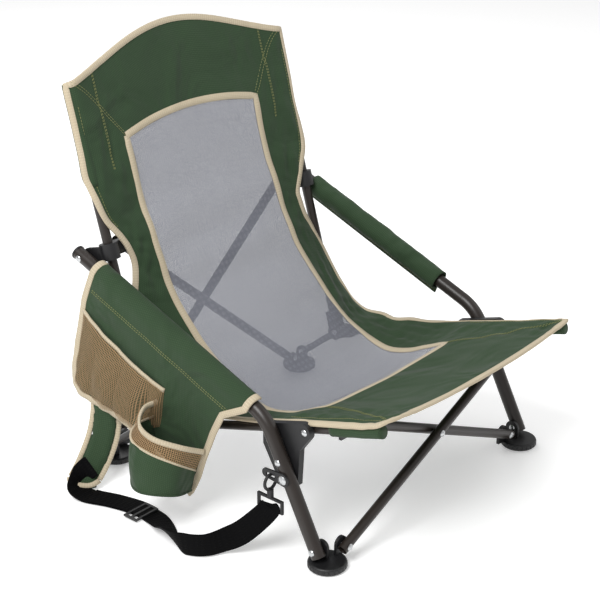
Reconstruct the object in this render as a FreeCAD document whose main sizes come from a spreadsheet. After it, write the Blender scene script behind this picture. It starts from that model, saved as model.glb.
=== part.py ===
import FreeCAD, Part
import math
import os
import Sketcher
from FreeCAD import Matrix, Placement, Rotation, Vector

# Folding camp chair. Millimetres, +Z up, the sitter faces -Y, the sitter's left is +X.
doc = FreeCAD.newDocument("FoldingCampChair")
sheet = doc.addObject("Spreadsheet::Sheet", "Sizes")

SIZES = [
    # frame tubes
    ("arm_tube_od", 22.0), ("cross_tube_od", 16.0), ("pole_od", 16.0),
    ("rail_od", 14.0), ("link_od", 12.0), ("tube_wall", 1.2),
    # places of the parts on each side, measured out from the middle
    ("arm_x", 262.0), ("pole_x", 232.0), ("link_x", 247.0),
    ("front_foot_x", 250.0), ("rear_foot_x", 230.0),
    ("front_cross_x", 222.0), ("rear_cross_x", 205.0),
    # places front to back
    ("leg_pivot_y", -184.0), ("front_cross_y", -191.5), ("cross_step", 17.0),
    ("front_foot_y", -196.0), ("rear_foot_y", 281.0), ("rear_cross_y", 285.0),
    ("elbow_y", 190.0), ("elbow_z", 100.0), ("pivot_z", 28.0),
    # lengths and slopes of the tubes, degrees up from level
    ("leg_slope", 62.4), ("arm_slope", 21.2), ("leg_length", 211.0), ("arm_length", 414.0),
    ("bend_radius", 70.0), ("pole_slope", 73.5), ("pole_length", 548.0),
    ("rail_slope", 17.35), ("rail_length", 484.0),
    ("front_cross_slope", 24.2), ("front_cross_length", 457.0),
    ("rear_cross_slope", 40.6), ("rear_cross_length", 533.0),
    ("rear_cross_lean", 8.4), ("tube_end_past_pin", 10.0), ("leg_end_past_pin", 11.0),
    # rivets and fits
    ("rivet_d", 5.0), ("rivet_head_d", 11.0), ("big_rivet_head_d", 15.0),
    ("pin_clearance", 0.05), ("side_gap", 1.2), ("part_gap", 0.5),
    # feet
    ("foot_d", 60.0), ("foot_height", 12.0), ("lug_thickness", 5.0), ("lug_width", 24.0),
    ("foot_ribs", 24.0), ("rib_groove_d", 3.0),
    # sliding collars
    ("collar_d", 30.0), ("collar_height", 26.0), ("collar_flange_d", 35.0), ("collar_fit", 0.3),
    # fabric
    ("fabric_thickness", 5.0), ("fabric_half_width", 221.0), ("back_arch_rise", 66.0),
    ("back_corner_height", 618.0), ("window_half_width", 150.0), ("window_top", 548.0),
    ("back_offset", 8.0), ("seat_offset", 11.5), ("seat_bend_radius", 120.0),
    ("seat_front_past_rail", 12.0), ("sleeve_d", 28.0), ("sleeve_length", 332.0),
    ("panel_thickness", 3.0), ("pocket_thickness", 6.0),
    ("cup_d", 96.0), ("cup_height", 100.0), ("cup_wall", 2.5), ("cup_base_z", 75.0),
    ("cup_y", 55.0),
    # carrying strap
    ("web_width", 38.0), ("web_thickness", 2.0), ("strap_x", 330.0), ("pad_width", 46.0),
    ("pad_thickness", 8.0), ("hook_wire_d", 5.0), ("ring_wire_d", 4.0),
]
for row, (alias, value) in enumerate(SIZES, 1):
    sheet.set("A%d" % row, alias.replace("_", " "))
    sheet.set("B%d" % row, repr(value))
    sheet.setAlias("B%d" % row, alias)
doc.recompute()


def size(alias):
    return float(sheet.get(alias))


def slope(alias):
    return math.radians(size(alias))


# The middle of the chair's box, so that the origin is under its middle on the floor.
LEFT_END = size("front_foot_x") + size("foot_d") / 2
PANEL_X = size("arm_x") + size("sleeve_d") / 2 + 1.0 + size("panel_thickness")
RIGHT_END = PANEL_X + size("part_gap") + size("cup_d")
TOP_Z = size("back_corner_height") + size("back_arch_rise")
REAR_END = (size("elbow_y") + (TOP_Z - size("elbow_z")) / math.tan(slope("pole_slope"))
            - (size("back_offset") - size("fabric_thickness") / 2) / math.sin(slope("pole_slope")))
FRONT_END = (size("elbow_y") - (size("rail_length") + size("seat_front_past_rail"))
             * math.cos(slope("rail_slope"))
             + (size("seat_offset") - size("fabric_thickness") / 2) * math.sin(slope("rail_slope")))
SHIFT = Vector((RIGHT_END - LEFT_END) / 2, -(REAR_END + FRONT_END) / 2, 0)


def place(item, at, x_axis=None, y_axis=None, z_axis=None):
    """Stand an item at a point, with its own axes turned to the given directions."""
    turn = Rotation()
    if z_axis is not None:
        z = Vector(z_axis).normalize()
        y = Vector(y_axis).normalize()
        x = y.cross(z).normalize()
        y = z.cross(x)
        grid = Matrix(x.x, y.x, z.x, 0, x.y, y.y, z.y, 0, x.z, y.z, z.z, 0, 0, 0, 0, 1)
        turn = Placement(grid).Rotation
    item.Placement = Placement(at + SHIFT, turn)
    return item


def new_body(name):
    body = doc.addObject("PartDesign::Body", name)
    body.Label = name
    return body


def new_sketch(body, name, role, offset=0.0):
    sketch = body.newObject("Sketcher::SketchObject", name)
    plane = [part for part in body.Origin.OriginFeatures if part.Role == role][0]
    sketch.AttachmentSupport = (plane, [""])
    sketch.MapMode = "FlatFace"
    sketch.AttachmentOffset = Placement(Vector(0, 0, offset), Rotation())
    return sketch


def add_circle(sketch, x, y, diameter):
    """A circle whose diameter is tied to the sheet by an expression."""
    circle = Part.Circle(Vector(x, y, 0), Vector(0, 0, 1), 5.0)
    index = sketch.addGeometry(circle, False)
    number = sketch.addConstraint(Sketcher.Constraint("Diameter", index, 10.0))
    sketch.setExpression("Constraints[%d]" % number, diameter)
    return index


def add_outline(sketch, points, closed=True):
    """Lines through the points. A point given with a second one is the end of an arc through it."""
    here = points[0]
    steps = list(points[1:]) + ([points[0]] if closed else [])
    for step in steps:
        if isinstance(step[0], tuple):
            middle, end = step
            arc = Part.Arc(Vector(*here, 0), Vector(*middle, 0), Vector(*end, 0))
            sketch.addGeometry(arc, False)
            here = end
        else:
            sketch.addGeometry(Part.LineSegment(Vector(*here, 0), Vector(*step, 0)), False)
            here = step


def both_ways(feature):
    if "SideType" in feature.PropertiesList:
        feature.SideType = "Symmetric"
    else:
        feature.Midplane = True


def pad(body, sketch, length, middle=False, backwards=False):
    feature = body.newObject("PartDesign::Pad", sketch.Name + "_pad")
    feature.Profile = sketch
    feature.Type = "Length"
    feature.setExpression("Length", str(length))
    if middle:
        both_ways(feature)
    feature.Reversed = backwards
    body.Tip = feature
    return feature


def pocket(body, sketch, length, middle=True, backwards=False):
    feature = body.newObject("PartDesign::Pocket", sketch.Name + "_cut")
    feature.Profile = sketch
    feature.Type = "Length"
    feature.setExpression("Length", str(length))
    if middle:
        both_ways(feature)
    feature.Reversed = backwards
    body.Tip = feature
    return feature


def pin_hole(body, name, role, x, y, length="80"):
    """A rivet hole right through, with the pin's clearance."""
    sketch = new_sketch(body, name, role)
    add_circle(sketch, x, y, "Sizes.rivet_d + 2 * Sizes.pin_clearance")
    return pocket(body, sketch, length)


def straight_tube(name, outside, length, holes=()):
    """A round tube up its own Z axis, with rivet holes along its own Y axis."""
    body = new_body(name)
    ring = new_sketch(body, name + "_ring", "XY_Plane")
    add_circle(ring, 0, 0, "Sizes.%s" % outside)
    add_circle(ring, 0, 0, "Sizes.%s - 2 * Sizes.tube_wall" % outside)
    pad(body, ring, length)
    for number, height in enumerate(holes):
        pin_hole(body, "%s_hole_%d" % (name, number), "XZ_Plane", 0, height, "40")
    return body


def side_name(name, side):
    return name + ("_left" if side > 0 else "_right")


# ---- places that several parts share -------------------------------------------------
LEG_UP = Vector(0, math.cos(slope("leg_slope")), math.sin(slope("leg_slope")))
ARM_BACK = Vector(0, math.cos(slope("arm_slope")), math.sin(slope("arm_slope")))
POLE_UP = Vector(0, math.cos(slope("pole_slope")), math.sin(slope("pole_slope")))
RAIL_FRONT = Vector(0, -math.cos(slope("rail_slope")), math.sin(slope("rail_slope")))
ELBOW = Vector(0, size("elbow_y"), size("elbow_z"))
LEG_PIVOT = Vector(0, size("leg_pivot_y"), size("pivot_z"))
BEND = LEG_PIVOT + LEG_UP * size("leg_length")
ARM_PIVOT = BEND + ARM_BACK * size("arm_length")
REAR_PIVOT = Vector(0, size("rear_foot_y"), size("pivot_z"))
PIN_X = Vector(1, 0, 0)


def out(point, side, x):
    return Vector(side * x, point.y, point.z)


def on_line(start, direction, y):
    return start + direction * ((y - start.y) / direction.y)


# The collar stands on the pole where the line square to the pole meets the arm's rear pin.
COLLAR = ELBOW + POLE_UP * (ARM_PIVOT - ELBOW).dot(POLE_UP)
LEG_BRACKET_PIN = on_line(LEG_PIVOT, LEG_UP, size("leg_pivot_y") + 66.0)
RAIL_BRACKET_PIN = on_line(ELBOW, RAIL_FRONT, size("leg_pivot_y") + 34.0)
STRAP_PIN = on_line(LEG_PIVOT, LEG_UP, size("leg_pivot_y") + 54.0)


def arm_leg_tube(side):
    """Front leg and arm in one bent tube: leg up its own Z axis, then the bend to the rear."""
    name = side_name("arm_leg_tube", side)
    body = new_body(name)
    turn = slope("leg_slope") - slope("arm_slope")
    start = size("leg_end_past_pin")
    setback = size("bend_radius") * math.tan(turn / 2)
    leg = start + size("leg_length")
    arm = size("arm_length") + start
    first = (0.0, leg - setback)
    second = (setback * math.sin(turn), leg + setback * math.cos(turn))
    swing = size("bend_radius")
    middle = (swing - swing * math.cos(turn / 2), first[1] + swing * math.sin(turn / 2))
    last = (arm * math.sin(turn), leg + arm * math.cos(turn))
    path = new_sketch(body, name + "_path", "YZ_Plane")
    add_outline(path, [(0.0, 0.0), first, (middle, second), last], closed=False)
    ring = new_sketch(body, name + "_ring", "XY_Plane")
    add_circle(ring, 0, 0, "Sizes.arm_tube_od")
    add_circle(ring, 0, 0, "Sizes.arm_tube_od - 2 * Sizes.tube_wall")
    pipe = body.newObject("PartDesign::AdditivePipe", name + "_pipe")
    pipe.Profile = ring
    pipe.Spine = (path, [])
    body.Tip = pipe
    holes = [(0.0, start), (last[0] - start * math.sin(turn), last[1] - start * math.cos(turn)),
             (0.0, start + (LEG_BRACKET_PIN - LEG_PIVOT).Length)]
    if side < 0:
        holes.append((0.0, start + (STRAP_PIN - LEG_PIVOT).Length))
    for number, (y, z) in enumerate(holes):
        pin_hole(body, "%s_hole_%d" % (name, number), "YZ_Plane", y, z)
    at = out(LEG_PIVOT - LEG_UP * start, side, size("arm_x"))
    return place(body, at, y_axis=PIN_X.cross(LEG_UP) * -1, z_axis=LEG_UP)


def arm_end_cap(side):
    """Plastic plug with a round flange in the arm tube's rear end."""
    name = side_name("arm_end_cap", side)
    body = new_body(name)
    flange = new_sketch(body, name + "_flange", "XY_Plane")
    add_circle(flange, 0, 0, "Sizes.arm_tube_od + 1")
    pad(body, flange, "3")
    plug = new_sketch(body, name + "_plug", "XY_Plane")
    add_circle(plug, 0, 0, "Sizes.arm_tube_od - 2 * Sizes.tube_wall - 0.2")
    pad(body, plug, "7", backwards=True)
    at = ARM_PIVOT + ARM_BACK * (size("leg_end_past_pin") + 0.1)
    return place(body, out(at, side, size("arm_x")), y_axis=PIN_X, z_axis=ARM_BACK)


def pole(side):
    body = straight_tube(side_name("back_pole", side), "pole_od", "Sizes.pole_length - 17")
    at = out(ELBOW + POLE_UP * 17.0, side, size("pole_x"))
    return place(body, at, y_axis=PIN_X, z_axis=POLE_UP)


def rail(side):
    pin = (RAIL_BRACKET_PIN - ELBOW).Length - 17.0
    body = straight_tube(side_name("seat_rail", side), "rail_od", "Sizes.rail_length - 17", [pin])
    at = out(ELBOW + RAIL_FRONT * 17.0, side, size("pole_x"))
    return place(body, at, y_axis=PIN_X, z_axis=RAIL_FRONT)


def rear_link(side):
    """Short tube from the rear foot up to the elbow."""
    way = ELBOW - REAR_PIVOT
    past = size("tube_end_past_pin")
    name = side_name("rear_link", side)
    body = straight_tube(name, "link_od", "%.4f" % (way.Length + 2 * past),
                         [past, past + way.Length])
    direction = Vector(way).normalize()
    at = out(REAR_PIVOT - direction * past, side, size("link_x"))
    return place(body, at, y_axis=PIN_X, z_axis=direction)


def elbow(side):
    """Plastic joint that holds the foot of the pole and the rear end of the seat rail."""
    name = side_name("rear_elbow", side)
    body = new_body(name)
    hub = new_sketch(body, name + "_hub", "YZ_Plane")
    add_circle(hub, 0, 0, "29")
    pad(body, hub, "Sizes.pole_od + 2", middle=True)
    for part, way, bore in (("pole", POLE_UP, "pole_od"), ("rail", RAIL_FRONT, "rail_od")):
        edge = size(bore) / 2 + 3.0
        across = (-way.z, way.y)
        start, end = 4.0, 38.0
        corners = [(way.y * s + across[0] * t, way.z * s + across[1] * t)
                   for s, t in ((start, -edge), (end, -edge), (end, edge), (start, edge))]
        arm = new_sketch(body, "%s_%s" % (name, part), "YZ_Plane")
        add_outline(arm, corners)
        pad(body, arm, "Sizes.pole_od + 2", middle=True)
    pin_hole(body, name + "_pin", "YZ_Plane", 0, 0)
    place(body, out(ELBOW, side, size("pole_x") - 0.5))
    solid = doc.addObject("Part::Cut", name + "_bored")
    bores = doc.addObject("Part::MultiFuse", name + "_bores")
    drills = []
    for part, way, bore in (("pole", POLE_UP, "pole_od"), ("rail", RAIL_FRONT, "rail_od")):
        drill = doc.addObject("Part::Cylinder", "%s_%s_drill" % (name, part))
        drill.setExpression("Radius", "Sizes.%s / 2 + 0.05" % bore)
        drill.Height = 60
        place(drill, out(ELBOW + way * 16.8, side, size("pole_x")), y_axis=PIN_X, z_axis=way)
        drills.append(drill)
    bores.Shapes = drills
    solid.Base = body
    solid.Tool = bores
    body.Label = name + "_blank"
    solid.Label = name
    return solid


def foot(name, side, x, y, side_pin_x, cross_pin_x, cross_front_y, side_lug_y):
    """Ribbed round foot with two lugs: one for a tube in the side frame, one for a cross tube."""
    body = new_body(name)
    half = size("foot_d") / 2
    high = size("foot_height")
    base = new_sketch(body, name + "_base", "XZ_Plane")
    add_outline(base, [(0.0, 0.0), (half - 3.0, 0.0), (half, 3.0), (half, high - 4.0),
                       ((half - 1.2, high - 1.2), (half - 4.0, high)), (0.0, high)])
    turned = body.newObject("PartDesign::Revolution", name + "_base_turned")
    turned.Profile = base
    turned.ReferenceAxis = (base, ["V_Axis"])
    turned.Angle = 360
    body.Tip = turned
    groove = new_sketch(body, name + "_groove", "XY_Plane")
    add_circle(groove, half + 0.4, 0, "Sizes.rib_groove_d")
    cut = pocket(body, groove, "60")
    ring = body.newObject("PartDesign::PolarPattern", name + "_ribs")
    ring.Originals = [cut]
    axis = [part for part in body.Origin.OriginFeatures if part.Role == "Z_Axis"][0]
    ring.Axis = (axis, [""])
    ring.Angle = 360
    ring.setExpression("Occurrences", "Sizes.foot_ribs")
    body.Tip = ring
    wide = size("lug_width") / 2
    pin = size("pivot_z")
    thick = size("lug_thickness")
    # side lug: a plate square to X, inboard of the tube
    y0 = side_lug_y - y
    lug = new_sketch(body, name + "_side_lug", "YZ_Plane", side * (side_pin_x - x) - thick / 2)
    add_outline(lug, [(y0 - wide, high - 2.0), (y0 + wide, high - 2.0), (y0 + wide, pin),
                      ((y0, pin + wide), (y0 - wide, pin))])
    pad(body, lug, "Sizes.lug_thickness", middle=False)
    # cross lug: a plate square to Y, in front of or behind the tube
    x0 = side * (cross_pin_x - x)
    lug = new_sketch(body, name + "_cross_lug", "XZ_Plane", -(cross_front_y - y))
    add_outline(lug, [(x0 - wide, high - 2.0), (x0 + wide, high - 2.0), (x0 + wide, pin),
                      ((x0, pin + wide), (x0 - wide, pin))])
    pad(body, lug, "Sizes.lug_thickness", middle=False, backwards=True)
    return place(body, Vector(side * x, y, 0))


def drilled(body, name, drills):
    """The body with holes along given lines: each drill is a start, a direction and a length."""
    cut = doc.addObject("Part::Cut", name + "_drilled")
    cylinders = []
    for number, (start, way, length) in enumerate(drills):
        drill = doc.addObject("Part::Cylinder", "%s_drill_%d" % (name, number))
        drill.setExpression("Radius", "Sizes.rivet_d / 2 + Sizes.pin_clearance")
        drill.Height = length
        sideways = Vector(0, 0, 1).cross(way)
        place(drill, start - way * (length / 2), y_axis=sideways, z_axis=way)
        cylinders.append(drill)
    cut.Base = body
    cut.Tool = cylinders[0]
    if len(cylinders) > 1:
        tools = doc.addObject("Part::MultiFuse", name + "_drills")
        tools.Shapes = cylinders
        cut.Tool = tools
    body.Label = name + "_blank"
    cut.Label = name
    return cut


# Cross tubes: each pair of tubes is one step apart front to back and is riveted where it crosses.
CROSS_R = size("cross_tube_od") / 2
FRONT_Y = {-1: size("front_cross_y") - size("cross_step"), 1: size("front_cross_y")}
REAR_Y = {-1: size("rear_cross_y") + size("cross_step"), 1: size("rear_cross_y")}


def lean_axis(side):
    """The rear cross tubes turn about a line leaning back, so that they follow the poles."""
    lean = slope("rear_cross_lean")
    up = slope("rear_cross_slope")
    along = Vector(-side * math.cos(up), 0, math.sin(up))
    flat = Vector(0, -1, 0)
    sideways = along.cross(flat)
    if sideways.z < 0:
        sideways = sideways * -1
    axis = flat * math.cos(lean) + sideways * math.sin(lean)
    return axis.normalize() * (1 if side < 0 else -1)


def front_cross(side):
    """Front cross tube whose foot is on the given side."""
    name = "front_cross_tube_" + ("left" if side > 0 else "right")
    up = slope("front_cross_slope")
    way = Vector(-side * math.cos(up), 0, math.sin(up))
    past = size("tube_end_past_pin")
    middle = size("front_cross_x") / math.cos(up)
    long = size("front_cross_length")
    body = straight_tube(name, "cross_tube_od", "Sizes.front_cross_length + 2 * Sizes.tube_end_past_pin",
                         [past, past + middle, past + long])
    pivot = Vector(side * size("front_cross_x"), FRONT_Y[side], size("pivot_z"))
    return place(body, pivot - way * past, y_axis=Vector(0, -1, 0), z_axis=way)


def rear_cross(side):
    name = "rear_cross_tube_" + ("left" if side > 0 else "right")
    up = slope("rear_cross_slope")
    way = Vector(-side * math.cos(up), 0, math.sin(up))
    past = size("tube_end_past_pin")
    long = size("rear_cross_length")
    body = straight_tube(name, "cross_tube_od", "Sizes.rear_cross_length + 2 * Sizes.tube_end_past_pin",
                         [past, past + long])
    pivot = Vector(side * size("rear_cross_x"), REAR_Y[side], size("pivot_z"))
    return place(body, pivot - way * past, y_axis=lean_axis(side), z_axis=way)


def front_foot(side):
    name = side_name("front_foot", side)
    lug_face = FRONT_Y[side] + CROSS_R + size("part_gap")
    side_x = size("arm_x") - size("arm_tube_od") / 2 - size("part_gap") - size("lug_thickness") / 2
    body = foot(name, side, size("front_foot_x"), size("front_foot_y"), side_x,
                size("front_cross_x"), lug_face, size("leg_pivot_y"))
    cross = Vector(side * size("front_cross_x"), lug_face, size("pivot_z"))
    return drilled(body, name, [(out(LEG_PIVOT, side, side_x), PIN_X, 24.0),
                                (cross, Vector(0, 1, 0), 24.0)])


def rear_foot(side):
    name = side_name("rear_foot", side)
    lug_face = REAR_Y[side] - CROSS_R - size("side_gap") - size("lug_thickness")
    side_x = size("link_x") - size("link_od") / 2 - size("part_gap") - size("lug_thickness") / 2
    body = foot(name, side, size("rear_foot_x"), size("rear_foot_y"), side_x,
                size("rear_cross_x"), lug_face, size("rear_foot_y"))
    cross = Vector(side * size("rear_cross_x"), REAR_Y[side], size("pivot_z"))
    return drilled(body, name, [(out(REAR_PIVOT, side, side_x), PIN_X, 16.0),
                                (cross - lean_axis(side) * (12.0 * side), lean_axis(side), 34.0)])


def collar(side):
    """Cup-shaped slider on the back pole, with an ear for the arm and a lug for a cross tube."""
    name = side_name("slide_collar", side)
    body = new_body(name)
    barrel = new_sketch(body, name + "_barrel", "XY_Plane", -size("collar_height") / 2)
    add_circle(barrel, 0, 0, "Sizes.collar_d")
    pad(body, barrel, "Sizes.collar_height")
    rim = new_sketch(body, name + "_rim", "XY_Plane", size("collar_height") / 2 - 6.0)
    add_circle(rim, 0, 0, "Sizes.collar_flange_d - 5")
    pad(body, rim, "6")
    ear_x = side * (size("arm_x") - size("pole_x") - size("arm_tube_od") / 2 - size("part_gap"))
    reach = (ARM_PIVOT - COLLAR).Length
    ear = new_sketch(body, name + "_ear", "YZ_Plane", ear_x - (5.0 if side > 0 else 0.0))
    add_outline(ear, [(0.0, -11.0), (reach, -11.0), ((reach + 11.0, 0.0), (reach, 11.0)), (0.0, 11.0)])
    pad(body, ear, "5")
    place(body, out(COLLAR, side, size("pole_x")), y_axis=PIN_X.cross(POLE_UP) * -1, z_axis=POLE_UP)
    # lug square to Y beside the upper end of the rear cross tube
    other = -side
    end_x = size("rear_cross_length") * math.cos(slope("rear_cross_slope")) - size("rear_cross_x")
    end_z = size("pivot_z") + size("rear_cross_length") * math.sin(slope("rear_cross_slope"))
    face = REAR_Y[other] - CROSS_R - size("side_gap")
    near = out(COLLAR, side, size("pole_x")).y - 2.0
    lug = doc.addObject("Part::Box", name + "_lug")
    lug.Length = size("pole_x") - end_x + 8.0
    lug.Width = max(face - near, 5.0)
    lug.Height = 24.0
    corner_x = end_x - 12.0 if side > 0 else -size("pole_x") + 4.0
    place(lug, Vector(corner_x, face - lug.Width.Value, end_z - 12.0))
    whole = doc.addObject("Part::MultiFuse", name + "_whole")
    whole.Shapes = [body, lug]
    bore = doc.addObject("Part::Cylinder", name + "_bore")
    bore.setExpression("Radius", "Sizes.pole_od / 2 + Sizes.collar_fit")
    bore.Height = 120
    place(bore, out(COLLAR - POLE_UP * 60.0, side, size("pole_x")), y_axis=PIN_X, z_axis=POLE_UP)
    cut = doc.addObject("Part::Cut", name + "_bored")
    cut.Base = whole
    cut.Tool = bore
    body.Label = name + "_blank"
    return drilled(cut, name, [(out(ARM_PIVOT, side, size("arm_x") - 14.0), PIN_X, 16.0)])


def corner_bracket(side):
    """Plastic block between the leg and the seat rail, riveted to both."""
    name = side_name("corner_bracket", side)
    body = new_body(name)
    leg, top = LEG_BRACKET_PIN, RAIL_BRACKET_PIN
    inner = side * (size("pole_x") + size("rail_od") / 2 + size("part_gap"))
    outer = side * (size("arm_x") - size("arm_tube_od") / 2 - size("part_gap"))
    outline = new_sketch(body, name + "_outline", "YZ_Plane", min(inner, outer))
    add_outline(outline, [(leg.y - 20.0, leg.z - 40.0), (leg.y + 20.0, leg.z - 40.0),
                          (leg.y + 48.0, leg.z + 8.0), (leg.y + 48.0, leg.z + 42.0),
                          (top.y + 8.0, top.z + 13.0),
                          ((top.y - 10.0, top.z + 5.0), (top.y - 8.0, top.z - 10.0)),
                          (leg.y - 24.0, leg.z + 20.0)])
    pad(body, outline, "%.4f" % abs(outer - inner))
    place(body, Vector(0, 0, 0))
    return drilled(body, name, [(out(leg, side, size("arm_x") - 17.0), PIN_X, 24.0),
                                (out(top, side, size("arm_x") - 17.0), PIN_X, 24.0)])


def cross_socket(side):
    """Clamp on the seat rail with a tab beside the upper end of a front cross tube."""
    name = side_name("rail_clamp", side)
    other = -side
    up = slope("front_cross_slope")
    end_x = size("front_cross_length") * math.cos(up) - size("front_cross_x")
    end_z = size("pivot_z") + size("front_cross_length") * math.sin(up)
    # the tab stands behind the front tube and in front of the rear one
    if other < 0:
        tab_y = FRONT_Y[other] + CROSS_R + size("part_gap")
    else:
        tab_y = FRONT_Y[other] - CROSS_R - size("part_gap") - size("lug_thickness")
    at = on_line(ELBOW, RAIL_FRONT, tab_y + size("lug_thickness") / 2)
    ring = doc.addObject("Part::Cylinder", name + "_ring")
    ring.setExpression("Radius", "Sizes.rail_od / 2 + 3")
    ring.Height = 18
    place(ring, out(at - RAIL_FRONT * 9.0, side, size("pole_x")), y_axis=PIN_X, z_axis=RAIL_FRONT)
    tab = doc.addObject("Part::Box", name + "_tab")
    tab.Length = size("pole_x") - end_x + 10.0
    tab.Width = size("lug_thickness")
    tab.Height = 17.0
    corner_x = end_x - 10.0 if side > 0 else -size("pole_x")
    place(tab, Vector(corner_x, tab_y, end_z - 9.0))
    whole = doc.addObject("Part::MultiFuse", name + "_whole")
    whole.Shapes = [ring, tab]
    bore = doc.addObject("Part::Cylinder", name + "_bore")
    bore.setExpression("Radius", "Sizes.rail_od / 2 + 0.1")
    bore.Height = 80
    place(bore, out(at - RAIL_FRONT * 40.0, side, size("pole_x")), y_axis=PIN_X, z_axis=RAIL_FRONT)
    cut = doc.addObject("Part::Cut", name)
    cut.Base = whole
    cut.Tool = bore
    cut.Label = name
    return cut


def rivet_shape(start, way, grip, head, flush_end=False):
    """One rivet: a pin with a low round head at each end of its grip, or at its start only."""
    pin = size("rivet_d") / 2
    rise = 2.2
    radius = head / 2
    ends = [(Vector(0, 0, 0), Vector(0, 0, -1))]
    if not flush_end:
        ends.append((Vector(0, 0, grip), Vector(0, 0, 1)))
    heads = []
    for base, up in ends:
        heads.append(Part.makeCone(radius, radius * 0.8, rise * 0.55, base, up))
        heads.append(Part.makeCone(radius * 0.8, radius * 0.4, rise * 0.45, base + up * rise * 0.55, up))
    solid = Part.makeCylinder(pin, grip).fuse(heads).removeSplitter().Solids[0]
    turn = Rotation(Vector(0, 0, 1), way)
    solid.Placement = Placement(start + SHIFT, turn)
    return solid


def rivet_group(name, rivets):
    """Several rivets in one node, each a separate solid."""
    group = doc.addObject("Part::Feature", name)
    head = size("rivet_head_d")
    solids = []
    for rivet in rivets:
        start, way, grip = rivet[:3]
        big = rivet[3] if len(rivet) > 3 and rivet[3] else head
        flush_end = len(rivet) > 4 and rivet[4]
        solids.append(rivet_shape(start, Vector(way).normalize(), grip, big, flush_end))
    group.Shape = Part.makeCompound(solids) if len(solids) > 1 else solids[0]
    return group


def side_rivets(side):
    """Rivets that stay with one side frame."""
    way = Vector(side, 0, 0)
    thick = size("lug_thickness")
    gap = size("part_gap")
    arm_in = size("arm_x") - size("arm_tube_od") / 2
    arm_out = size("arm_x") + size("arm_tube_od") / 2
    link_in = size("link_x") - size("link_od") / 2
    link_out = size("link_x") + size("link_od") / 2
    elbow_in = size("pole_x") - 0.5 - size("pole_od") / 2 - 1.0
    rail_in = size("pole_x") - size("rail_od") / 2
    bracket_in = size("pole_x") + size("rail_od") / 2 + gap
    rivets = [
        (out(LEG_PIVOT, side, arm_in - gap - thick), way, arm_out - arm_in + gap + thick),
        (out(ARM_PIVOT, side, arm_in - gap - 5.0), way, arm_out - arm_in + gap + 5.0),
        (out(REAR_PIVOT, side, link_in - gap - thick), way, link_out - link_in + gap + thick),
        (out(ELBOW, side, elbow_in), way, link_out - elbow_in),
        (out(RAIL_BRACKET_PIN, side, rail_in), way, arm_in - gap - rail_in),
        (out(LEG_BRACKET_PIN, side, bracket_in), way, arm_out - bracket_in),
    ]
    return rivet_group(side_name("frame_rivets", side), rivets)


def cross_rivets():
    """Foot, crossing and end rivets of the cross tubes, one node for each tube."""
    wide = size("cross_tube_od")
    thick = size("lug_thickness")
    up = slope("front_cross_slope")
    middle_z = size("pivot_z") + size("front_cross_x") * math.tan(up)
    back = Vector(0, 1, 0)
    made = []
    for side in (-1, 1):
        y = FRONT_Y[side] - CROSS_R
        way = Vector(-side * math.cos(up), 0, math.sin(up))
        foot_pin = Vector(side * size("front_cross_x"), y, size("pivot_z"))
        end = foot_pin + way * size("front_cross_length")
        # the upper end has a head only on the side away from the rail's tab
        upper = (end, back) if side < 0 else (end + back * wide, back * -1)
        rivets = [(foot_pin, back, wide + size("part_gap") + thick),
                  upper + (wide - 0.3, None, True)]
        if side < 0:
            crossing = Vector(0, y, middle_z)
            rivets.append((crossing, back, wide + size("cross_step")))
        made.append(rivet_group("front_cross_rivets_" + ("left" if side > 0 else "right"), rivets))
        lean = lean_axis(side)
        lean = lean if lean.y > 0 else lean * -1
        up_r = slope("rear_cross_slope")
        way = Vector(-side * math.cos(up_r), 0, math.sin(up_r))
        pivot = Vector(side * size("rear_cross_x"), REAR_Y[side], size("pivot_z"))
        before = CROSS_R + size("side_gap") + thick + 1.1
        end = pivot + way * size("rear_cross_length") + lean * CROSS_R
        made.append(rivet_group("rear_cross_rivets_" + ("left" if side > 0 else "right"),
                                [(pivot - lean * before, lean, before + CROSS_R),
                                 (end, lean * -1, wide - 0.3, None, True)]))
    return made


# ---- fabric ---------------------------------------------------------------------------
def sling_line(offset):
    """Side view of the seat and back fabric: front edge, tangent points, arc middle, top."""
    pole_n = Vector(0, -POLE_UP.z, POLE_UP.y)
    rail_n = Vector(0, math.sin(slope("rail_slope")), math.cos(slope("rail_slope")))
    a = ELBOW + pole_n * (size("back_offset") + offset)
    b = ELBOW + rail_n * (size("seat_offset") + offset)
    # where the two lines meet
    det = POLE_UP.y * -RAIL_FRONT.z - POLE_UP.z * -RAIL_FRONT.y
    dy, dz = b.y - a.y, b.z - a.z
    s = (dy * -RAIL_FRONT.z - dz * -RAIL_FRONT.y) / det
    corner = a + POLE_UP * s
    radius = size("seat_bend_radius") - offset
    angle = math.acos(max(-1.0, min(1.0, POLE_UP.dot(RAIL_FRONT))))
    set_back = radius / math.tan(angle / 2)
    on_back = corner + POLE_UP * set_back
    on_seat = corner + RAIL_FRONT * set_back
    bisect = (POLE_UP + RAIL_FRONT).normalize()
    centre = corner + bisect * (radius / math.sin(angle / 2))
    deep = centre - bisect * radius
    front = on_seat + RAIL_FRONT * ((size("rail_length") + size("seat_front_past_rail"))
                                    - (on_seat - b).dot(RAIL_FRONT))
    top = on_line_z(on_back, POLE_UP, TOP_Z)
    return front, on_seat, deep, on_back, top


def on_line_z(start, direction, z):
    return start + direction * ((z - start.z) / direction.z)


def flat(point):
    return (point.y, point.z)


def sling_strip(name, half_width):
    """A strip of fabric with the side view of the sling."""
    body = new_body(name)
    thick = size("fabric_thickness")
    low = sling_line(-thick / 2)
    high = sling_line(thick / 2)
    side_view = new_sketch(body, name + "_side", "YZ_Plane")
    add_outline(side_view, [flat(low[0]), flat(low[1]), (flat(low[2]), flat(low[3])), flat(low[4]),
                            flat(high[4]), flat(high[3]), (flat(high[2]), flat(high[1])),
                            flat(high[0])])
    pad(body, side_view, "2 * Sizes.%s" % half_width, middle=True)
    return body


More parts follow.
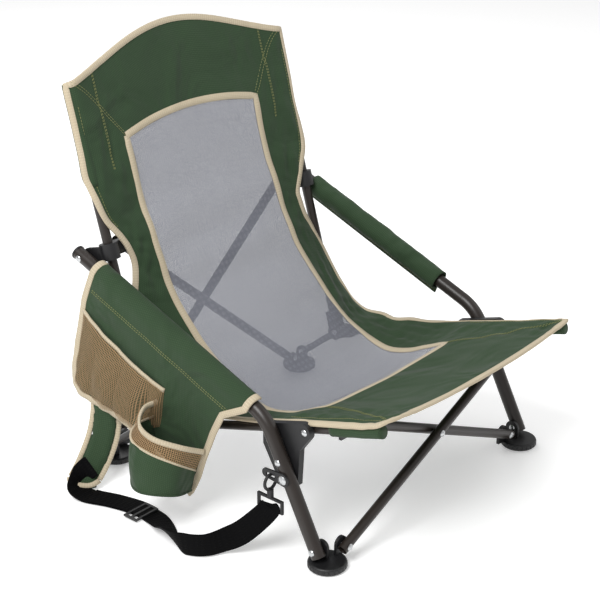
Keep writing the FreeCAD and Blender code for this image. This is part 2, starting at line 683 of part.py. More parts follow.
def window_tool(name, inset):
    """The see-through window's outline: a back part seen from the front, a seat part from above."""
    half = size("window_half_width") - inset
    body = new_body(name)
    back = new_sketch(body, name + "_back", "XZ_Plane", -500.0)
    top = size("window_top") - inset
    add_outline(back, [(-half, 60.0), (half, 60.0), (half, top - 24.0), ((0.0, top), (-half, top - 24.0))])
    pad(body, back, "1000", backwards=False)
    place(body, Vector(0, 0, 0))
    front = size("leg_pivot_y") + 34.0 + inset
    seat = doc.addObject("Part::Box", name + "_seat_end")
    seat.Length = 600
    seat.Width = 600
    seat.Height = 900
    place(seat, Vector(-300, front - 600, -10))
    cut = doc.addObject("Part::Cut", name + "_cut")
    cut.Base = body
    cut.Tool = seat
    return cut


def sling():
    """Green fabric round the window, and the see-through panel in it."""
    cloth = sling_strip("seat_back_fabric_blank", "fabric_half_width")
    arch = new_sketch(cloth, "top_arch", "XZ_Plane", -600.0)
    half = size("fabric_half_width") + 5.0
    low = size("back_corner_height")
    add_outline(arch, [(-half, low + 200.0), (-half, low), ((0.0, TOP_Z), (half, low)),
                       (half, low + 200.0)])
    trim = pocket(cloth, arch, "1200", middle=False, backwards=False)
    place(cloth, Vector(0, 0, 0))
    doc.recompute()
    if abs(trim.Shape.Volume - trim.BaseFeature.Shape.Volume) < 1.0:
        trim.Reversed = True
    for side in (-1, 1):
        notch = new_sketch(cloth, side_name("collar_notch", side), "XZ_Plane", -600.0)
        collar_z = COLLAR.z
        edge = half + 2.0
        add_outline(notch, [(side * edge, collar_z + 62.0), (side * 181.0, collar_z + 36.0),
                            (side * 179.0, collar_z - 16.0), (side * edge, collar_z - 42.0)])
        pocket(cloth, notch, "1200", middle=False).Reversed = trim.Reversed
    tool = window_tool("window_hole", 0.0)
    holed = doc.addObject("Part::Cut", "seat_back_fabric")
    holed.Base = cloth
    holed.Tool = tool
    panel = sling_strip("mesh_panel_blank", "fabric_half_width")
    place(panel, Vector(0, 0, 0))
    inner = window_tool("window_fill", size("part_gap"))
    mesh = doc.addObject("Part::Common", "mesh_panel")
    mesh.Base = panel
    mesh.Tool = inner
    return [holed, mesh]


def arm_cover(side):
    """Fabric sleeve round the arm."""
    name = side_name("arm_cover", side)
    body = new_body(name)
    ring = new_sketch(body, name + "_ring", "XY_Plane")
    add_circle(ring, 0, 0, "Sizes.sleeve_d")
    add_circle(ring, 0, 0, "Sizes.arm_tube_od + 2 * Sizes.part_gap")
    pad(body, ring, "Sizes.sleeve_length")
    at = ARM_PIVOT - ARM_BACK * (size("sleeve_length") + 30.0)
    return place(body, out(at, side, size("arm_x")), y_axis=PIN_X, z_axis=ARM_BACK)


def pocket_panel():
    """Flat fabric panel that hangs outside the right arm."""
    body = new_body("pocket_panel")
    inner = size("arm_x") + size("sleeve_d") / 2 + 1.0
    outline = new_sketch(body, "pocket_panel_outline", "YZ_Plane", -inner)
    end = ARM_PIVOT
    low = BEND
    add_outline(outline, [(end.y - 10.0, end.z - 20.0), (end.y + 22.0, end.z - 150.0),
                          (end.y + 10.0, end.z - 205.0), (end.y - 36.0, end.z - 233.0),
                          (end.y - 128.0, end.z - 250.0), (low.y + 142.0, low.z - 168.0),
                          (low.y + 106.0, low.z - 100.0), (low.y + 24.0, low.z + 24.0)])
    pad(body, outline, "Sizes.panel_thickness", backwards=True)
    return place(body, Vector(0, 0, 0))


def mesh_pocket():
    """Mesh pocket on the outside of the panel."""
    body = new_body("mesh_pocket")
    inner = size("arm_x") + size("sleeve_d") / 2 + 1.0 + size("panel_thickness") + size("part_gap")
    outline = new_sketch(body, "mesh_pocket_outline", "YZ_Plane", -inner)
    end = ARM_PIVOT
    add_outline(outline, [(end.y - 19.0, end.z - 83.0), (end.y + 8.0, end.z - 207.0),
                          (end.y - 36.0, end.z - 230.0), (end.y - 128.0, end.z - 247.0),
                          (end.y - 175.0, end.z - 215.0), (end.y - 183.0, end.z - 158.0)])
    pad(body, outline, "Sizes.pocket_thickness", backwards=True)
    return place(body, Vector(0, 0, 0))


def cup_holder():
    """Round fabric cup holder, open at the top."""
    body = new_body("cup_holder")
    wall = new_sketch(body, "cup_outside", "XY_Plane")
    add_circle(wall, 0, 0, "Sizes.cup_d")
    pad(body, wall, "Sizes.cup_height")
    hollow = new_sketch(body, "cup_inside", "XY_Plane", size("cup_wall"))
    add_circle(hollow, 0, 0, "Sizes.cup_d - 2 * Sizes.cup_wall")
    cut = pocket(body, hollow, "Sizes.cup_height + 10", middle=False, backwards=True)
    doc.recompute()
    if cut.Shape.Volume > 0.5 * math.pi / 4 * size("cup_d") ** 2 * size("cup_height"):
        cut.Reversed = False
    x = PANEL_X + size("part_gap") + size("cup_d") / 2
    return place(body, Vector(-x, size("cup_y"), size("cup_base_z")))


# ---- carrying strap -------------------------------------------------------------------
RING_AT = STRAP_PIN + Vector(0, 26.0, -68.0)


def strap_bracket():
    """Loop riveted to the outside of the right leg."""
    body = new_body("strap_bracket")
    outer = size("arm_x") + size("arm_tube_od") / 2 + size("part_gap")
    plate = new_sketch(body, "strap_bracket_plate", "YZ_Plane", -outer)
    y, z = STRAP_PIN.y, STRAP_PIN.z
    add_outline(plate, [(y - 6.0, z - 9.5), (y + 34.0, z - 5.0), ((y + 39.0, z + 2.0), (y + 34.0, z + 9.0)),
                        (y - 2.0, z + 11.0), ((y - 11.0, z + 1.0), (y - 6.0, z - 9.5))], closed=False)
    pad(body, plate, "3", backwards=True)
    hole = new_sketch(body, "strap_bracket_loop", "YZ_Plane", -outer)
    add_outline(hole, [(y + 14.0, z - 2.5), (y + 31.0, z - 2.5), (y + 31.0, z + 4.0), (y + 14.0, z + 4.0)])
    pocket(body, hole, "20")
    pin_hole(body, "strap_bracket_pin", "YZ_Plane", y, z, "800")
    return place(body, Vector(0, 0, 0))


def strap_rivet():
    """Blind rivet: its inner end stays inside the leg tube."""
    outer = size("arm_x") + size("arm_tube_od") / 2
    grip = size("arm_tube_od") / 2 + size("part_gap") + 3.0
    start = out(STRAP_PIN, -1, outer + size("part_gap") + 3.0)
    return rivet_group("strap_rivet", [(start, Vector(1, 0, 0), grip,
                                        size("big_rivet_head_d"), True)])


HOOK_X = size("arm_x") + size("arm_tube_od") / 2 + size("part_gap") + 1.5
HOOK_EYE = STRAP_PIN + Vector(0, 24.0, -11.2)


def snap_hook():
    """Snap hook: an open ring through the bracket, a barrel and a square loop for the webbing."""
    wire = size("hook_wire_d") / 2
    ring = doc.addObject("Part::Torus", "hook_ring")
    ring.Radius1 = 12.0
    ring.setExpression("Radius2", "Sizes.hook_wire_d / 2")
    place(ring, out(HOOK_EYE, -1, HOOK_X), y_axis=Vector(1, 0, 0), z_axis=Vector(0, 1, 0))
    gap = doc.addObject("Part::Box", "hook_gap")
    gap.Length, gap.Width, gap.Height = 13.0, 10.0, 13.0
    place(gap, Vector(-HOOK_X + 4.0, HOOK_EYE.y - 5.0, HOOK_EYE.z - 6.0))
    opened = doc.addObject("Part::Cut", "hook_open")
    opened.Base = ring
    opened.Tool = gap
    barrel = doc.addObject("Part::Cylinder", "hook_barrel")
    barrel.Radius = 5.0
    barrel.Height = 14.0
    place(barrel, out(HOOK_EYE + Vector(0, 0, -26.0), -1, HOOK_X))
    loop = new_body("hook_loop")
    frame = new_sketch(loop, "hook_loop_frame", "YZ_Plane")
    half = size("web_width") / 2 + 2.0 + size("ring_wire_d")
    add_outline(frame, [(-half, -22.0), (half, -22.0), (half, 0.0), (-half, 0.0)])
    inner = half - size("ring_wire_d")
    add_outline(frame, [(-inner, -18.0), (inner, -18.0), (inner, -4.0), (-inner, -4.0)])
    pad(loop, frame, "Sizes.ring_wire_d", middle=True)
    place(loop, out(HOOK_EYE + Vector(0, 0, -25.0), -1, HOOK_X))
    whole = doc.addObject("Part::MultiFuse", "snap_hook")
    whole.Shapes = [opened, barrel, loop]
    return whole


def hook_gate():
    """Sprung bar that closes the snap hook."""
    gate = doc.addObject("Part::Cylinder", "hook_gate")
    gate.Radius = 1.8
    gate.Height = 11.0
    return place(gate, Vector(-HOOK_X + 12.0, HOOK_EYE.y, HOOK_EYE.z - 5.2))


def strap_webbing():
    """Flat webbing from the shoulder pad along the floor and up to the square loop."""
    body = new_body("strap_webbing")
    thick = size("web_thickness")
    rear = size("rear_foot_y") - 36.0
    front = HOOK_EYE.y + 44.0
    top_z = HOOK_EYE.z - 41.0
    rise = 26.0
    side_view = new_sketch(body, "webbing_side", "YZ_Plane")
    bend = (front - rise * 0.7071, rise * 0.2929)
    inner = rise - thick
    add_outline(side_view, [(rear, 0.0), (front, 0.0), (bend, (front - rise, rise)),
                            (front - rise - 10.0, top_z), (front - rise - 10.0 + thick, top_z),
                            (front - inner, rise),
                            ((front - inner * 0.7071, thick + inner * 0.2929), (front, thick)),
                            (rear, thick)])
    pad(body, side_view, "Sizes.web_width", middle=True)
    return place(body, Vector(-size("strap_x"), 0, 0))


def shoulder_pad():
    """Padded green cover over the rear part of the strap."""
    body = new_body("shoulder_pad")
    x1 = -(size("arm_x") + 5.0)
    x2 = -(size("strap_x") + 4.0)
    thick = size("pad_thickness")
    y = size("rear_foot_y") - 8.0
    front_view = new_sketch(body, "shoulder_pad_front", "XZ_Plane", -y)
    add_outline(front_view, [(x1, 290.0), (x1, 122.0), ((x1 - 3.0, 108.0), (x1 - 10.0, 98.0)),
                             (x2, 3.0), (x2 - thick * 1.3, 3.0), (x1 - 10.0 - thick, 104.0),
                             ((x1 - 3.0 - thick, 112.0), (x1 - thick, 124.0)), (x1 - thick, 290.0)])
    pad(body, front_view, "Sizes.pad_width", backwards=False)
    return place(body, Vector(0, 0, 0))


def slider_buckle():
    """Three-bar slider on the webbing, a little proud of the floor."""
    frame = new_body("slider_buckle")
    outline = new_sketch(frame, "slider_outline", "XY_Plane")
    half = size("web_width") / 2 + 5.0
    add_outline(outline, [(-half, -14.0), (half, -14.0), (half, 14.0), (-half, 14.0)])
    inner = half - 4.0
    for low, high in ((-10.5, -2.0), (2.0, 10.5)):
        add_outline(outline, [(-inner, low), (inner, low), (inner, high), (-inner, high)])
    pad(frame, outline, "3")
    return place(frame, Vector(-size("strap_x"), 118.0, size("web_thickness") + size("part_gap")))


SOLIDS = []
for side in (-1, 1):
    SOLIDS += [arm_leg_tube(side), arm_end_cap(side), pole(side), rail(side), rear_link(side),
               elbow(side), front_foot(side), rear_foot(side), collar(side), corner_bracket(side),
               cross_socket(side), front_cross(side), rear_cross(side), side_rivets(side),
               arm_cover(side)]
SOLIDS += cross_rivets()
SOLIDS += sling()
SOLIDS += [pocket_panel(), mesh_pocket(), cup_holder(), strap_bracket(), strap_rivet(),
           snap_hook(), hook_gate(), strap_webbing(), shoulder_pad(), slider_buckle()]
doc.recompute()

for item in doc.Objects:
    state = [word for word in item.State if word in ("Invalid", "Error")]
    if state:
        raise RuntimeError("%s is %s" % (item.Name, state))
for item in SOLIDS:
    if item.Shape.isNull() or not item.Shape.isValid() or not item.Shape.Solids:
        raise RuntimeError("%s has no valid solid" % item.Label)

os.makedirs("parts", exist_ok=True)
for item in SOLIDS:
    item.Shape.exportStep(os.path.join("parts", item.Label + ".step"))
print(len(SOLIDS), "nodes written")
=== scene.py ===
import bmesh
import bpy
import math
from mathutils import Matrix, Vector, noise


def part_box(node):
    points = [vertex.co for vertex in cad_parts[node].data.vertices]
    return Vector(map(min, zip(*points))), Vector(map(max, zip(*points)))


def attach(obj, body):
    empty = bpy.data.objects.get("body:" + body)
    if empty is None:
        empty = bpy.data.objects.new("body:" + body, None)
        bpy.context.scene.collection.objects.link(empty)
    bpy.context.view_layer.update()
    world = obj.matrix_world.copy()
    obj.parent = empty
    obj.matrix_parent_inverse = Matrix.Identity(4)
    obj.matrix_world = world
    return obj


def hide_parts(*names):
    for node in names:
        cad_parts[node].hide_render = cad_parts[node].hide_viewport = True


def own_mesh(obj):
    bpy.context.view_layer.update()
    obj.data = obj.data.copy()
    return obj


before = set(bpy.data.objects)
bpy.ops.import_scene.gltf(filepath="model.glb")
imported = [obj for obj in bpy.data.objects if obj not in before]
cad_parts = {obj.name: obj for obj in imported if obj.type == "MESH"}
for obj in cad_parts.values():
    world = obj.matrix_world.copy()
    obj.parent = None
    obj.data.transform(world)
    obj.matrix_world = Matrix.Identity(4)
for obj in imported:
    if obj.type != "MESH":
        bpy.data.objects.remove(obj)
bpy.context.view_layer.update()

# ---- places, all from the CAD nodes ----------------------------------------------------


def centre(node):
    low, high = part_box(node)
    return [(a + b) / 2 for a, b in zip(low, high)]


MIDDLE_X = (centre("back_pole_left")[0] + centre("back_pole_right")[0]) / 2
ZERO_Y = centre("front_foot_right")[1] + 0.196


def at(x, y, z):
    """A point given in millimetres from the chair's own middle line."""
    return Vector((MIDDLE_X + x / 1000, ZERO_Y + y / 1000, z / 1000))


POLE_X = (centre("back_pole_left")[0] - MIDDLE_X) * 1000
ARM_X = (centre("arm_leg_tube_left")[0] - MIDDLE_X) * 1000

# ---- materials -------------------------------------------------------------------------


def linear(code):
    """sRGB hex to the linear colour that shaders use."""
    parts = [int(code[i:i + 2], 16) / 255 for i in (1, 3, 5)]
    return tuple(p / 12.92 if p < 0.04045 else ((p + 0.055) / 1.055) ** 2.4 for p in parts) + (1.0,)


def node(tree, kind, links=None, **settings):
    """Add a node, set its properties and inputs, and link its inputs."""
    made = tree.nodes.new(kind)
    for name, value in settings.items():
        if name in made.bl_rna.properties:
            setattr(made, name, value)
        else:
            made.inputs[name.replace("_", " ")].default_value = value
    for name, source in (links or {}).items():
        tree.links.new(source, made.inputs[name])
    return made


def finish_of(name, roughness, metallic=0.0, sheen=0.0, ior=1.5):
    """A new material with its shader and output."""
    material = bpy.data.materials.new(name)
    material.use_nodes = True
    tree = material.node_tree
    tree.nodes.clear()
    shader = tree.nodes.new("ShaderNodeBsdfPrincipled")
    shader.inputs["Roughness"].default_value = roughness
    shader.inputs["Metallic"].default_value = metallic
    shader.inputs["Sheen Weight"].default_value = sheen
    if not metallic:
        shader.inputs["IOR"].default_value = ior
    output = tree.nodes.new("ShaderNodeOutputMaterial")
    tree.links.new(shader.outputs[0], output.inputs[0])
    return material, tree, shader


def woven(name, dark, light, thread_mm, roughness, sheen, bump=0.35, patch_mm=60.0, across=1.0,
          crease_mm=0.0, ior=1.4):
    """Plain-weave cloth: two crossed thread waves on the cloth's own map, and faded patches."""
    material, tree, shader = finish_of(name, roughness, sheen=sheen, ior=ior)
    uv = node(tree, "ShaderNodeTexCoord").outputs["UV"]
    place = node(tree, "ShaderNodeTexCoord").outputs["Object"]
    scale = 1000.0 / thread_mm / 2.0
    warp = node(tree, "ShaderNodeTexWave", {"Vector": uv}, bands_direction="X", Scale=scale / 3.14,
                Distortion=0.6, Detail=1.0)
    weft = node(tree, "ShaderNodeTexWave", {"Vector": uv}, bands_direction="Y",
                Scale=scale / 3.14 * across, Distortion=0.6, Detail=1.0)
    weave = node(tree, "ShaderNodeMath", {0: warp.outputs["Fac"], 1: weft.outputs["Fac"]},
                 operation="MULTIPLY")
    patches = node(tree, "ShaderNodeTexNoise", {"Vector": place}, Scale=1000.0 / patch_mm, Detail=4.0)
    share = node(tree, "ShaderNodeMath", {0: weave.outputs[0], 1: patches.outputs["Fac"]},
                 operation="MULTIPLY_ADD")
    share.inputs[2].default_value = 0.25
    colour = node(tree, "ShaderNodeMix", {"Factor": share.outputs[0]}, data_type="RGBA")
    colour.inputs["A"].default_value = linear(dark)
    colour.inputs["B"].default_value = linear(light)
    tree.links.new(colour.outputs["Result"], shader.inputs["Base Color"])
    relief = node(tree, "ShaderNodeBump", {"Height": weave.outputs[0]}, Strength=bump,
                  Distance=thread_mm / 4000.0)
    if crease_mm:
        creases = node(tree, "ShaderNodeTexNoise", {"Vector": place}, Scale=9.0, Detail=2.0,
                       Distortion=0.9)
        soft = node(tree, "ShaderNodeBump", {"Height": creases.outputs["Fac"]}, Strength=1.0,
                    Distance=crease_mm / 1000.0)
        tree.links.new(soft.outputs[0], relief.inputs["Normal"])
    tree.links.new(relief.outputs[0], shader.inputs["Normal"])
    return material


def grained(name, colour, other, grain_mm, roughness, metallic=0.0, bump=0.2, depth_mm=0.05):
    """Coated, moulded or plated surface: fine grain in the bump, slight change of colour."""
    material, tree, shader = finish_of(name, roughness, metallic)
    place = node(tree, "ShaderNodeTexCoord").outputs["Object"]
    fine = node(tree, "ShaderNodeTexNoise", {"Vector": place}, Scale=1000.0 / grain_mm, Detail=3.0)
    wide = node(tree, "ShaderNodeTexNoise", {"Vector": place}, Scale=1000.0 / (grain_mm * 30),
                Detail=5.0)
    mixed = node(tree, "ShaderNodeMix", {"Factor": wide.outputs["Fac"]}, data_type="RGBA")
    mixed.inputs["A"].default_value = linear(colour)
    mixed.inputs["B"].default_value = linear(other)
    tree.links.new(mixed.outputs["Result"], shader.inputs["Base Color"])
    rough = node(tree, "ShaderNodeMapRange", {"Value": wide.outputs["Fac"]}, To_Min=roughness * 0.8,
                 To_Max=min(roughness * 1.25, 1.0))
    tree.links.new(rough.outputs[0], shader.inputs["Roughness"])
    relief = node(tree, "ShaderNodeBump", {"Height": fine.outputs["Fac"]}, Strength=bump,
                  Distance=depth_mm / 1000.0)
    tree.links.new(relief.outputs[0], shader.inputs["Normal"])
    return material


# Polyester oxford cloth, dyed forest green: matt, with a fine plain weave drawn at 1.6 mm.
GREEN = woven("oxford_cloth_green", "#20341f", "#394f34", 1.6, 0.86, 0.05, 0.4, crease_mm=20.0,
              ior=1.4)
# Cotton-look polyester binding tape, ribbed across: pale and matt.
TAPE = woven("binding_tape_beige", "#ab9d84", "#d3c7ae", 1.3, 0.85, 0.08, 0.35, 30.0, 0.6,
             crease_mm=4.0)
# Knitted polyester mesh, grey: the holes are in the piece itself.
MESH_GREY = woven("knitted_mesh_grey", "#6d6f78", "#84868f", 5.0, 0.9, 0.0, 0.0)
# Knitted polyester mesh, tan.
MESH_TAN = woven("knitted_mesh_tan", "#866a4a", "#ab8e68", 1.0, 0.85, 0.05, 0.2)
# Polypropylene webbing, black: heavy ribs, slight shine.
WEBBING = woven("webbing_black", "#020203", "#09090a", 2.2, 0.8, 0.0, 0.8, 20.0, 0.5, ior=1.2)
# Sewing thread, a shade of olive that shows on the green.
THREAD = woven("thread_olive", "#6f7446", "#8d8f5e", 0.6, 0.6, 0.05, 0.2)
# Powder-coated steel tube, dark brown, satin with a faint orange peel.
COAT = grained("powder_coat_dark_brown", "#1f1a17", "#2d2622", 1.6, 0.34, 0.0, 0.12, 0.05)
# Injection-moulded nylon, black: matt with fine grain.
PLASTIC = grained("moulded_nylon_black", "#131314", "#1e1e20", 0.9, 0.46, 0.0, 0.25, 0.05)
# Zinc-plated steel rivet: bright, a little cloudy.
ZINC = grained("zinc_plated_steel", "#b4b6b8", "#d0d2d3", 1.2, 0.28, 1.0, 0.1, 0.02)
# The green cloth darkened as painted shade, for the floor inside the cup holder's pouch.
PAINTED_SHADE_CLOTH = woven("cloth_painted_shade", "#1c2119", "#2a3026", 1.6, 0.9, 0.1, 0.3)

# ---- mesh makers -----------------------------------------------------------------------


def piece(name, points, faces, material, uvs):
    """A mesh object with its place in its mesh. uvs holds one pair in metres for each point."""
    mesh = bpy.data.meshes.new(name)
    mesh.from_pydata([tuple(p) for p in points], [], faces)
    mesh.update()
    layer = mesh.uv_layers.new(name="cloth")
    for loop in mesh.loops:
        layer.data[loop.index].uv = uvs[loop.vertex_index]
    mesh.materials.append(material)
    made = bpy.data.objects.new(name, mesh)
    bpy.context.scene.collection.objects.link(made)
    for face in mesh.polygons:
        face.use_smooth = True
    return made


def thicken(made, millimetres, offset=0.0):
    solid = made.modifiers.new("thickness", "SOLIDIFY")
    solid.thickness = millimetres / 1000
    solid.offset = offset
    return made


def outline_area(corners):
    """Flat area in square metres of a cut with these corners in millimetres."""
    pairs = zip(corners, corners[1:] + corners[:1])
    return abs(sum(p[0] * q[1] - q[0] * p[1] for p, q in pairs)) / 2e6


def strip_area(one, other):
    """Flat area in square metres of a strip cut between two lines of points in millimetres."""
    return sum((math.dist(a, b) + math.dist(c, d)) * (math.dist(a, c) + math.dist(b, d)) / 4e6
               for a, b, c, d in zip(one, one[1:], other, other[1:]))


def cloth_grid(name, surface, columns, rows, material, keep=None, mm=1.2):
    """A cloth sheet from surface(a, b), a and b from 0 to 1, with its map in metres."""
    points, uvs, faces = [], [], []
    for j in range(rows + 1):
        for i in range(columns + 1):
            points.append(surface(i / columns, j / rows))
    run = [0.0] * len(points)
    rise = list(run)
    for j in range(rows + 1):
        for i in range(columns + 1):
            k = j * (columns + 1) + i
            if i:
                run[k] = run[k - 1] + (points[k] - points[k - 1]).length
            if j:
                rise[k] = rise[k - columns - 1] + (points[k] - points[k - columns - 1]).length
    uvs = list(zip(run, rise))
    for j in range(rows):
        for i in range(columns):
            if keep is None or keep((i + 0.5) / columns, (j + 0.5) / rows):
                k = j * (columns + 1) + i
                faces.append((k, k + columns + 1, k + columns + 2, k + 1))
    used = sorted({v for f in faces for v in f})
    new = {v: n for n, v in enumerate(used)}
    made = piece(name, [points[v] for v in used], [tuple(new[v] for v in f) for f in faces],
                 material, [uvs[v] for v in used])
    return thicken(made, mm) if mm else made


def smooth_line(points, steps=8):
    """A Catmull-Rom line through the points."""
    line = []
    ends = [points[0] * 2 - points[1]] + list(points) + [points[-1] * 2 - points[-2]]
    for a, b, c, d in zip(ends, ends[1:], ends[2:], ends[3:]):
        for s in range(steps):
            t = s / steps
            line.append(0.5 * ((2 * b) + (c - a) * t + (2 * a - 5 * b + 4 * c - d) * t * t
                               + (3 * b - a - 3 * c + d) * t ** 3))
    line.append(points[-1])
    return line


def sweep(name, line, sides, shape, material):
    """A closed skin round a line: shape(angle, share along) gives the offset vector."""
    points, uvs, faces = [], [], []
    count = len(line)
    along = 0.0
    for j, p in enumerate(line):
        if j:
            along += (p - line[j - 1]).length
        for i in range(sides):
            points.append(p + shape(2 * math.pi * i / sides, j / (count - 1), j))
            uvs.append((i / sides * 0.08, along))
    for j in range(count - 1):
        for i in range(sides):
            a, b = j * sides + i, j * sides + (i + 1) % sides
            faces.append((a, b, b + sides, a + sides))
    faces.append(tuple(range(sides))[::-1])
    faces.append(tuple(range((count - 1) * sides, count * sides)))
    made = piece(name, points, faces, material, uvs)
    outward(made)
    return made


def outward(made):
    shell = bmesh.new()
    shell.from_mesh(made.data)
    bmesh.ops.recalc_face_normals(shell, faces=shell.faces)
    shell.to_mesh(made.data)
    shell.free()


def ribbon(name, line, across, width_mm, thick_mm, material, closed=False):
    """A flat tape along a line. across holds the width direction at each point of the line."""
    half, thick = width_mm / 2000, thick_mm / 2000
    count = len(line)
    frames = []
    for j in range(count):
        ahead = line[(j + 1) % count] if closed else line[min(j + 1, count - 1)]
        behind = line[j - 1] if closed or j else line[0]
        tangent = (ahead - behind).normalized()
        side = across[j] - tangent * across[j].dot(tangent)
        side.normalize()
        frames.append((side, tangent.cross(side).normalized()))
    outline = [(-1, -0.6), (-0.93, -1), (0.93, -1), (1, -0.6), (1, 0.6), (0.93, 1), (-0.93, 1),
               (-1, 0.6)]
    points, uvs, faces = [], [], []
    along = 0.0
    for j, p in enumerate(line):
        if j:
            along += (p - line[j - 1]).length
        side, up = frames[j]
        for a, b in outline:
            points.append(p + side * a * half + up * b * thick)
            uvs.append((a * half, along))
    n = len(outline)
    for j in range(count if closed else count - 1):
        for i in range(n):
            a, b = j * n + i, j * n + (i + 1) % n
            faces.append((a, b, (b + n) % len(points), (a + n) % len(points)))
    if not closed:
        faces.append(tuple(range(n))[::-1])
        faces.append(tuple(range((count - 1) * n, count * n)))
    made = piece(name, points, faces, material, uvs)
    outward(made)
    return made


def grow(name, tree, base, values):
    """Run a geometry tree on a base object, keep the result as a plain mesh, drop the base."""
    modifier = base.modifiers.new("grow", "NODES")
    modifier.node_group = tree
    for item in tree.interface.items_tree:
        if item.item_type == "SOCKET" and item.in_out == "INPUT" and item.name in values:
            modifier[item.identifier] = values[item.name]
    bpy.context.view_layer.update()
    seen = base.evaluated_get(bpy.context.evaluated_depsgraph_get())
    mesh = bpy.data.meshes.new_from_object(seen)
    made = bpy.data.objects.new(name, mesh)
    bpy.context.scene.collection.objects.link(made)
    bpy.data.objects.remove(base)
    mesh.name = name
    return made


def new_tree(name, inputs):
    """A geometry tree with float inputs, and its input node."""
    tree = bpy.data.node_groups.new(name, "GeometryNodeTree")
    tree.interface.new_socket("Geometry", in_out="INPUT", socket_type="NodeSocketGeometry")
    for label, value in inputs:
        socket = tree.interface.new_socket(label, in_out="INPUT", socket_type="NodeSocketFloat")
        socket.default_value = value
    tree.interface.new_socket("Geometry", in_out="OUTPUT", socket_type="NodeSocketGeometry")
    start = tree.nodes.new("NodeGroupInput")
    return tree, start


def end_tree(tree, geometry, material):
    """Join, paint and output a tree's geometry."""
    real = node(tree, "GeometryNodeRealizeInstances", {"Geometry": geometry})
    painted = node(tree, "GeometryNodeSetMaterial", {"Geometry": real.outputs[0]})
    painted.inputs["Material"].default_value = material
    done = tree.nodes.new("NodeGroupOutput")
    tree.links.new(painted.outputs[0], done.inputs[0])
    return tree


def stitch_tree(material):
    """Stitches in a row along a line: short capsules set end to end with gaps."""
    tree, start = new_tree("stitch_row", [("Spacing", 0.004), ("Stitch Length", 0.0026),
                                          ("Thread Radius", 0.00045)])
    curve = node(tree, "GeometryNodeMeshToCurve", {"Mesh": start.outputs["Geometry"]})
    even = node(tree, "GeometryNodeResampleCurve", {"Curve": curve.outputs[0],
                                                    "Length": start.outputs["Spacing"]},
                mode="LENGTH")
    thread = node(tree, "GeometryNodeMeshCylinder", {"Radius": start.outputs["Thread Radius"],
                                                     "Depth": start.outputs["Stitch Length"]},
                  Vertices=6)
    tangent = node(tree, "GeometryNodeInputTangent")
    turn = node(tree, "FunctionNodeAlignRotationToVector", {"Vector": tangent.outputs[0]}, axis="Z")
    rows = node(tree, "GeometryNodeInstanceOnPoints", {"Points": even.outputs[0],
                                                       "Instance": thread.outputs["Mesh"],
                                                       "Rotation": turn.outputs[0]})
    return end_tree(tree, rows.outputs[0], material)


def lattice_tree(material):
    """Open mesh: each cell of a fine grid keeps a rim and loses its middle."""
    tree, start = new_tree("open_mesh", [("Hole Share", 0.62)])
    cells = node(tree, "GeometryNodeExtrudeMesh", {"Mesh": start.outputs["Geometry"]}, mode="FACES")
    cells.inputs["Offset Scale"].default_value = 0.0
    cells.inputs["Individual"].default_value = True
    shrunk = node(tree, "GeometryNodeScaleElements", {"Geometry": cells.outputs["Mesh"],
                                                      "Selection": cells.outputs["Top"],
                                                      "Scale": start.outputs["Hole Share"]},
                  domain="FACE")
    holed = node(tree, "GeometryNodeDeleteGeometry", {"Geometry": shrunk.outputs[0],
                                                      "Selection": cells.outputs["Top"]},
                 domain="FACE", mode="ONLY_FACE")
    return end_tree(tree, holed.outputs[0], material)


STITCHES = stitch_tree(THREAD)
OPEN_GREY = lattice_tree(MESH_GREY)
OPEN_TAN = lattice_tree(MESH_TAN)


def stitched(name, lines, spacing=0.005):
    """One piece of stitch rows along several lines of points."""
    points, edges = [], []
    for line in lines:
        start = len(points)
        points += [tuple(p) for p in line]
        edges += [(k, k + 1) for k in range(start, len(points) - 1)]
    mesh = bpy.data.meshes.new(name + "_line")
    mesh.from_pydata(points, edges, [])
    base = bpy.data.objects.new(name + "_line", mesh)
    bpy.context.scene.collection.objects.link(base)
    return grow(name, STITCHES, base, {"Spacing": spacing, "Stitch Length": spacing * 0.62,
                                       "Thread Radius": 0.0005})


# ---- the sling -------------------------------------------------------------------------
# Rows from the top of the back to the seat's front edge, in millimetres from the chair's
# middle line: edge y, edge z, y and z where the window's side seam runs, half width.
SLING_ROWS = [
    (331, 630, 343, 630, 246), (307, 537, 312, 534, 246), (291, 480, 297, 480, 246),
    (277, 432, 281, 430, 239), (265, 392, 264, 392, 216), (256, 360, 251, 358, 201),
    (247, 325, 234, 324, 206), (238, 290, 215, 287, 221), (216, 238, 176, 243, 234),
    (188, 200, 143, 210, 236), (160, 172, 112, 188, 237), (125, 155, 86, 172, 238),
    (85, 155, 52, 157, 239), (45, 164, 12, 150, 240), (-5, 178, -35, 161, 240),
    (-60, 195, -70, 178, 241), (-105, 209, -108, 197, 242), (-150, 223, -152, 211, 242),
    (-200, 238, -200, 227, 243), (-238, 250, -238, 240, 244), (-262, 258, -263, 249, 243),
    (-277, 262, -278, 254, 239), (-286, 264, -288, 257, 227),
]
WINDOW_TOP = 1      # the row of the window's top seam
WINDOW_END = 16     # the row of its seat seam
SEAM_X = 150.0      # the window's side seams, from the middle
LAST = len(SLING_ROWS) - 1
ARCH_RISE = 58.0    # how far the back's top edge rises above its corners
WINDOW_RISE = 20.0  # the same for the window's top seam
ARCH_ROWS = 5       # the window seam's arch has faded out by this row
TOP_HALF = SLING_ROWS[0][4]
TURN_X = 224.0      # outside this the cloth turns round the poles and over the rails


def row_value(column, v):
    """A column of the rows, smoothed between them."""
    s = max(0.0, min(1.0, v)) * LAST
    k = min(int(s), LAST - 1)
    t = s - k
    p = [SLING_ROWS[max(0, min(LAST, k + n))][column] for n in (-1, 0, 1, 2)]
    return 0.5 * (2 * p[1] + (p[2] - p[0]) * t + (2 * p[0] - 5 * p[1] + 4 * p[2] - p[3]) * t * t
                  + (3 * p[1] - p[0] - 3 * p[2] + p[3]) * t ** 3)


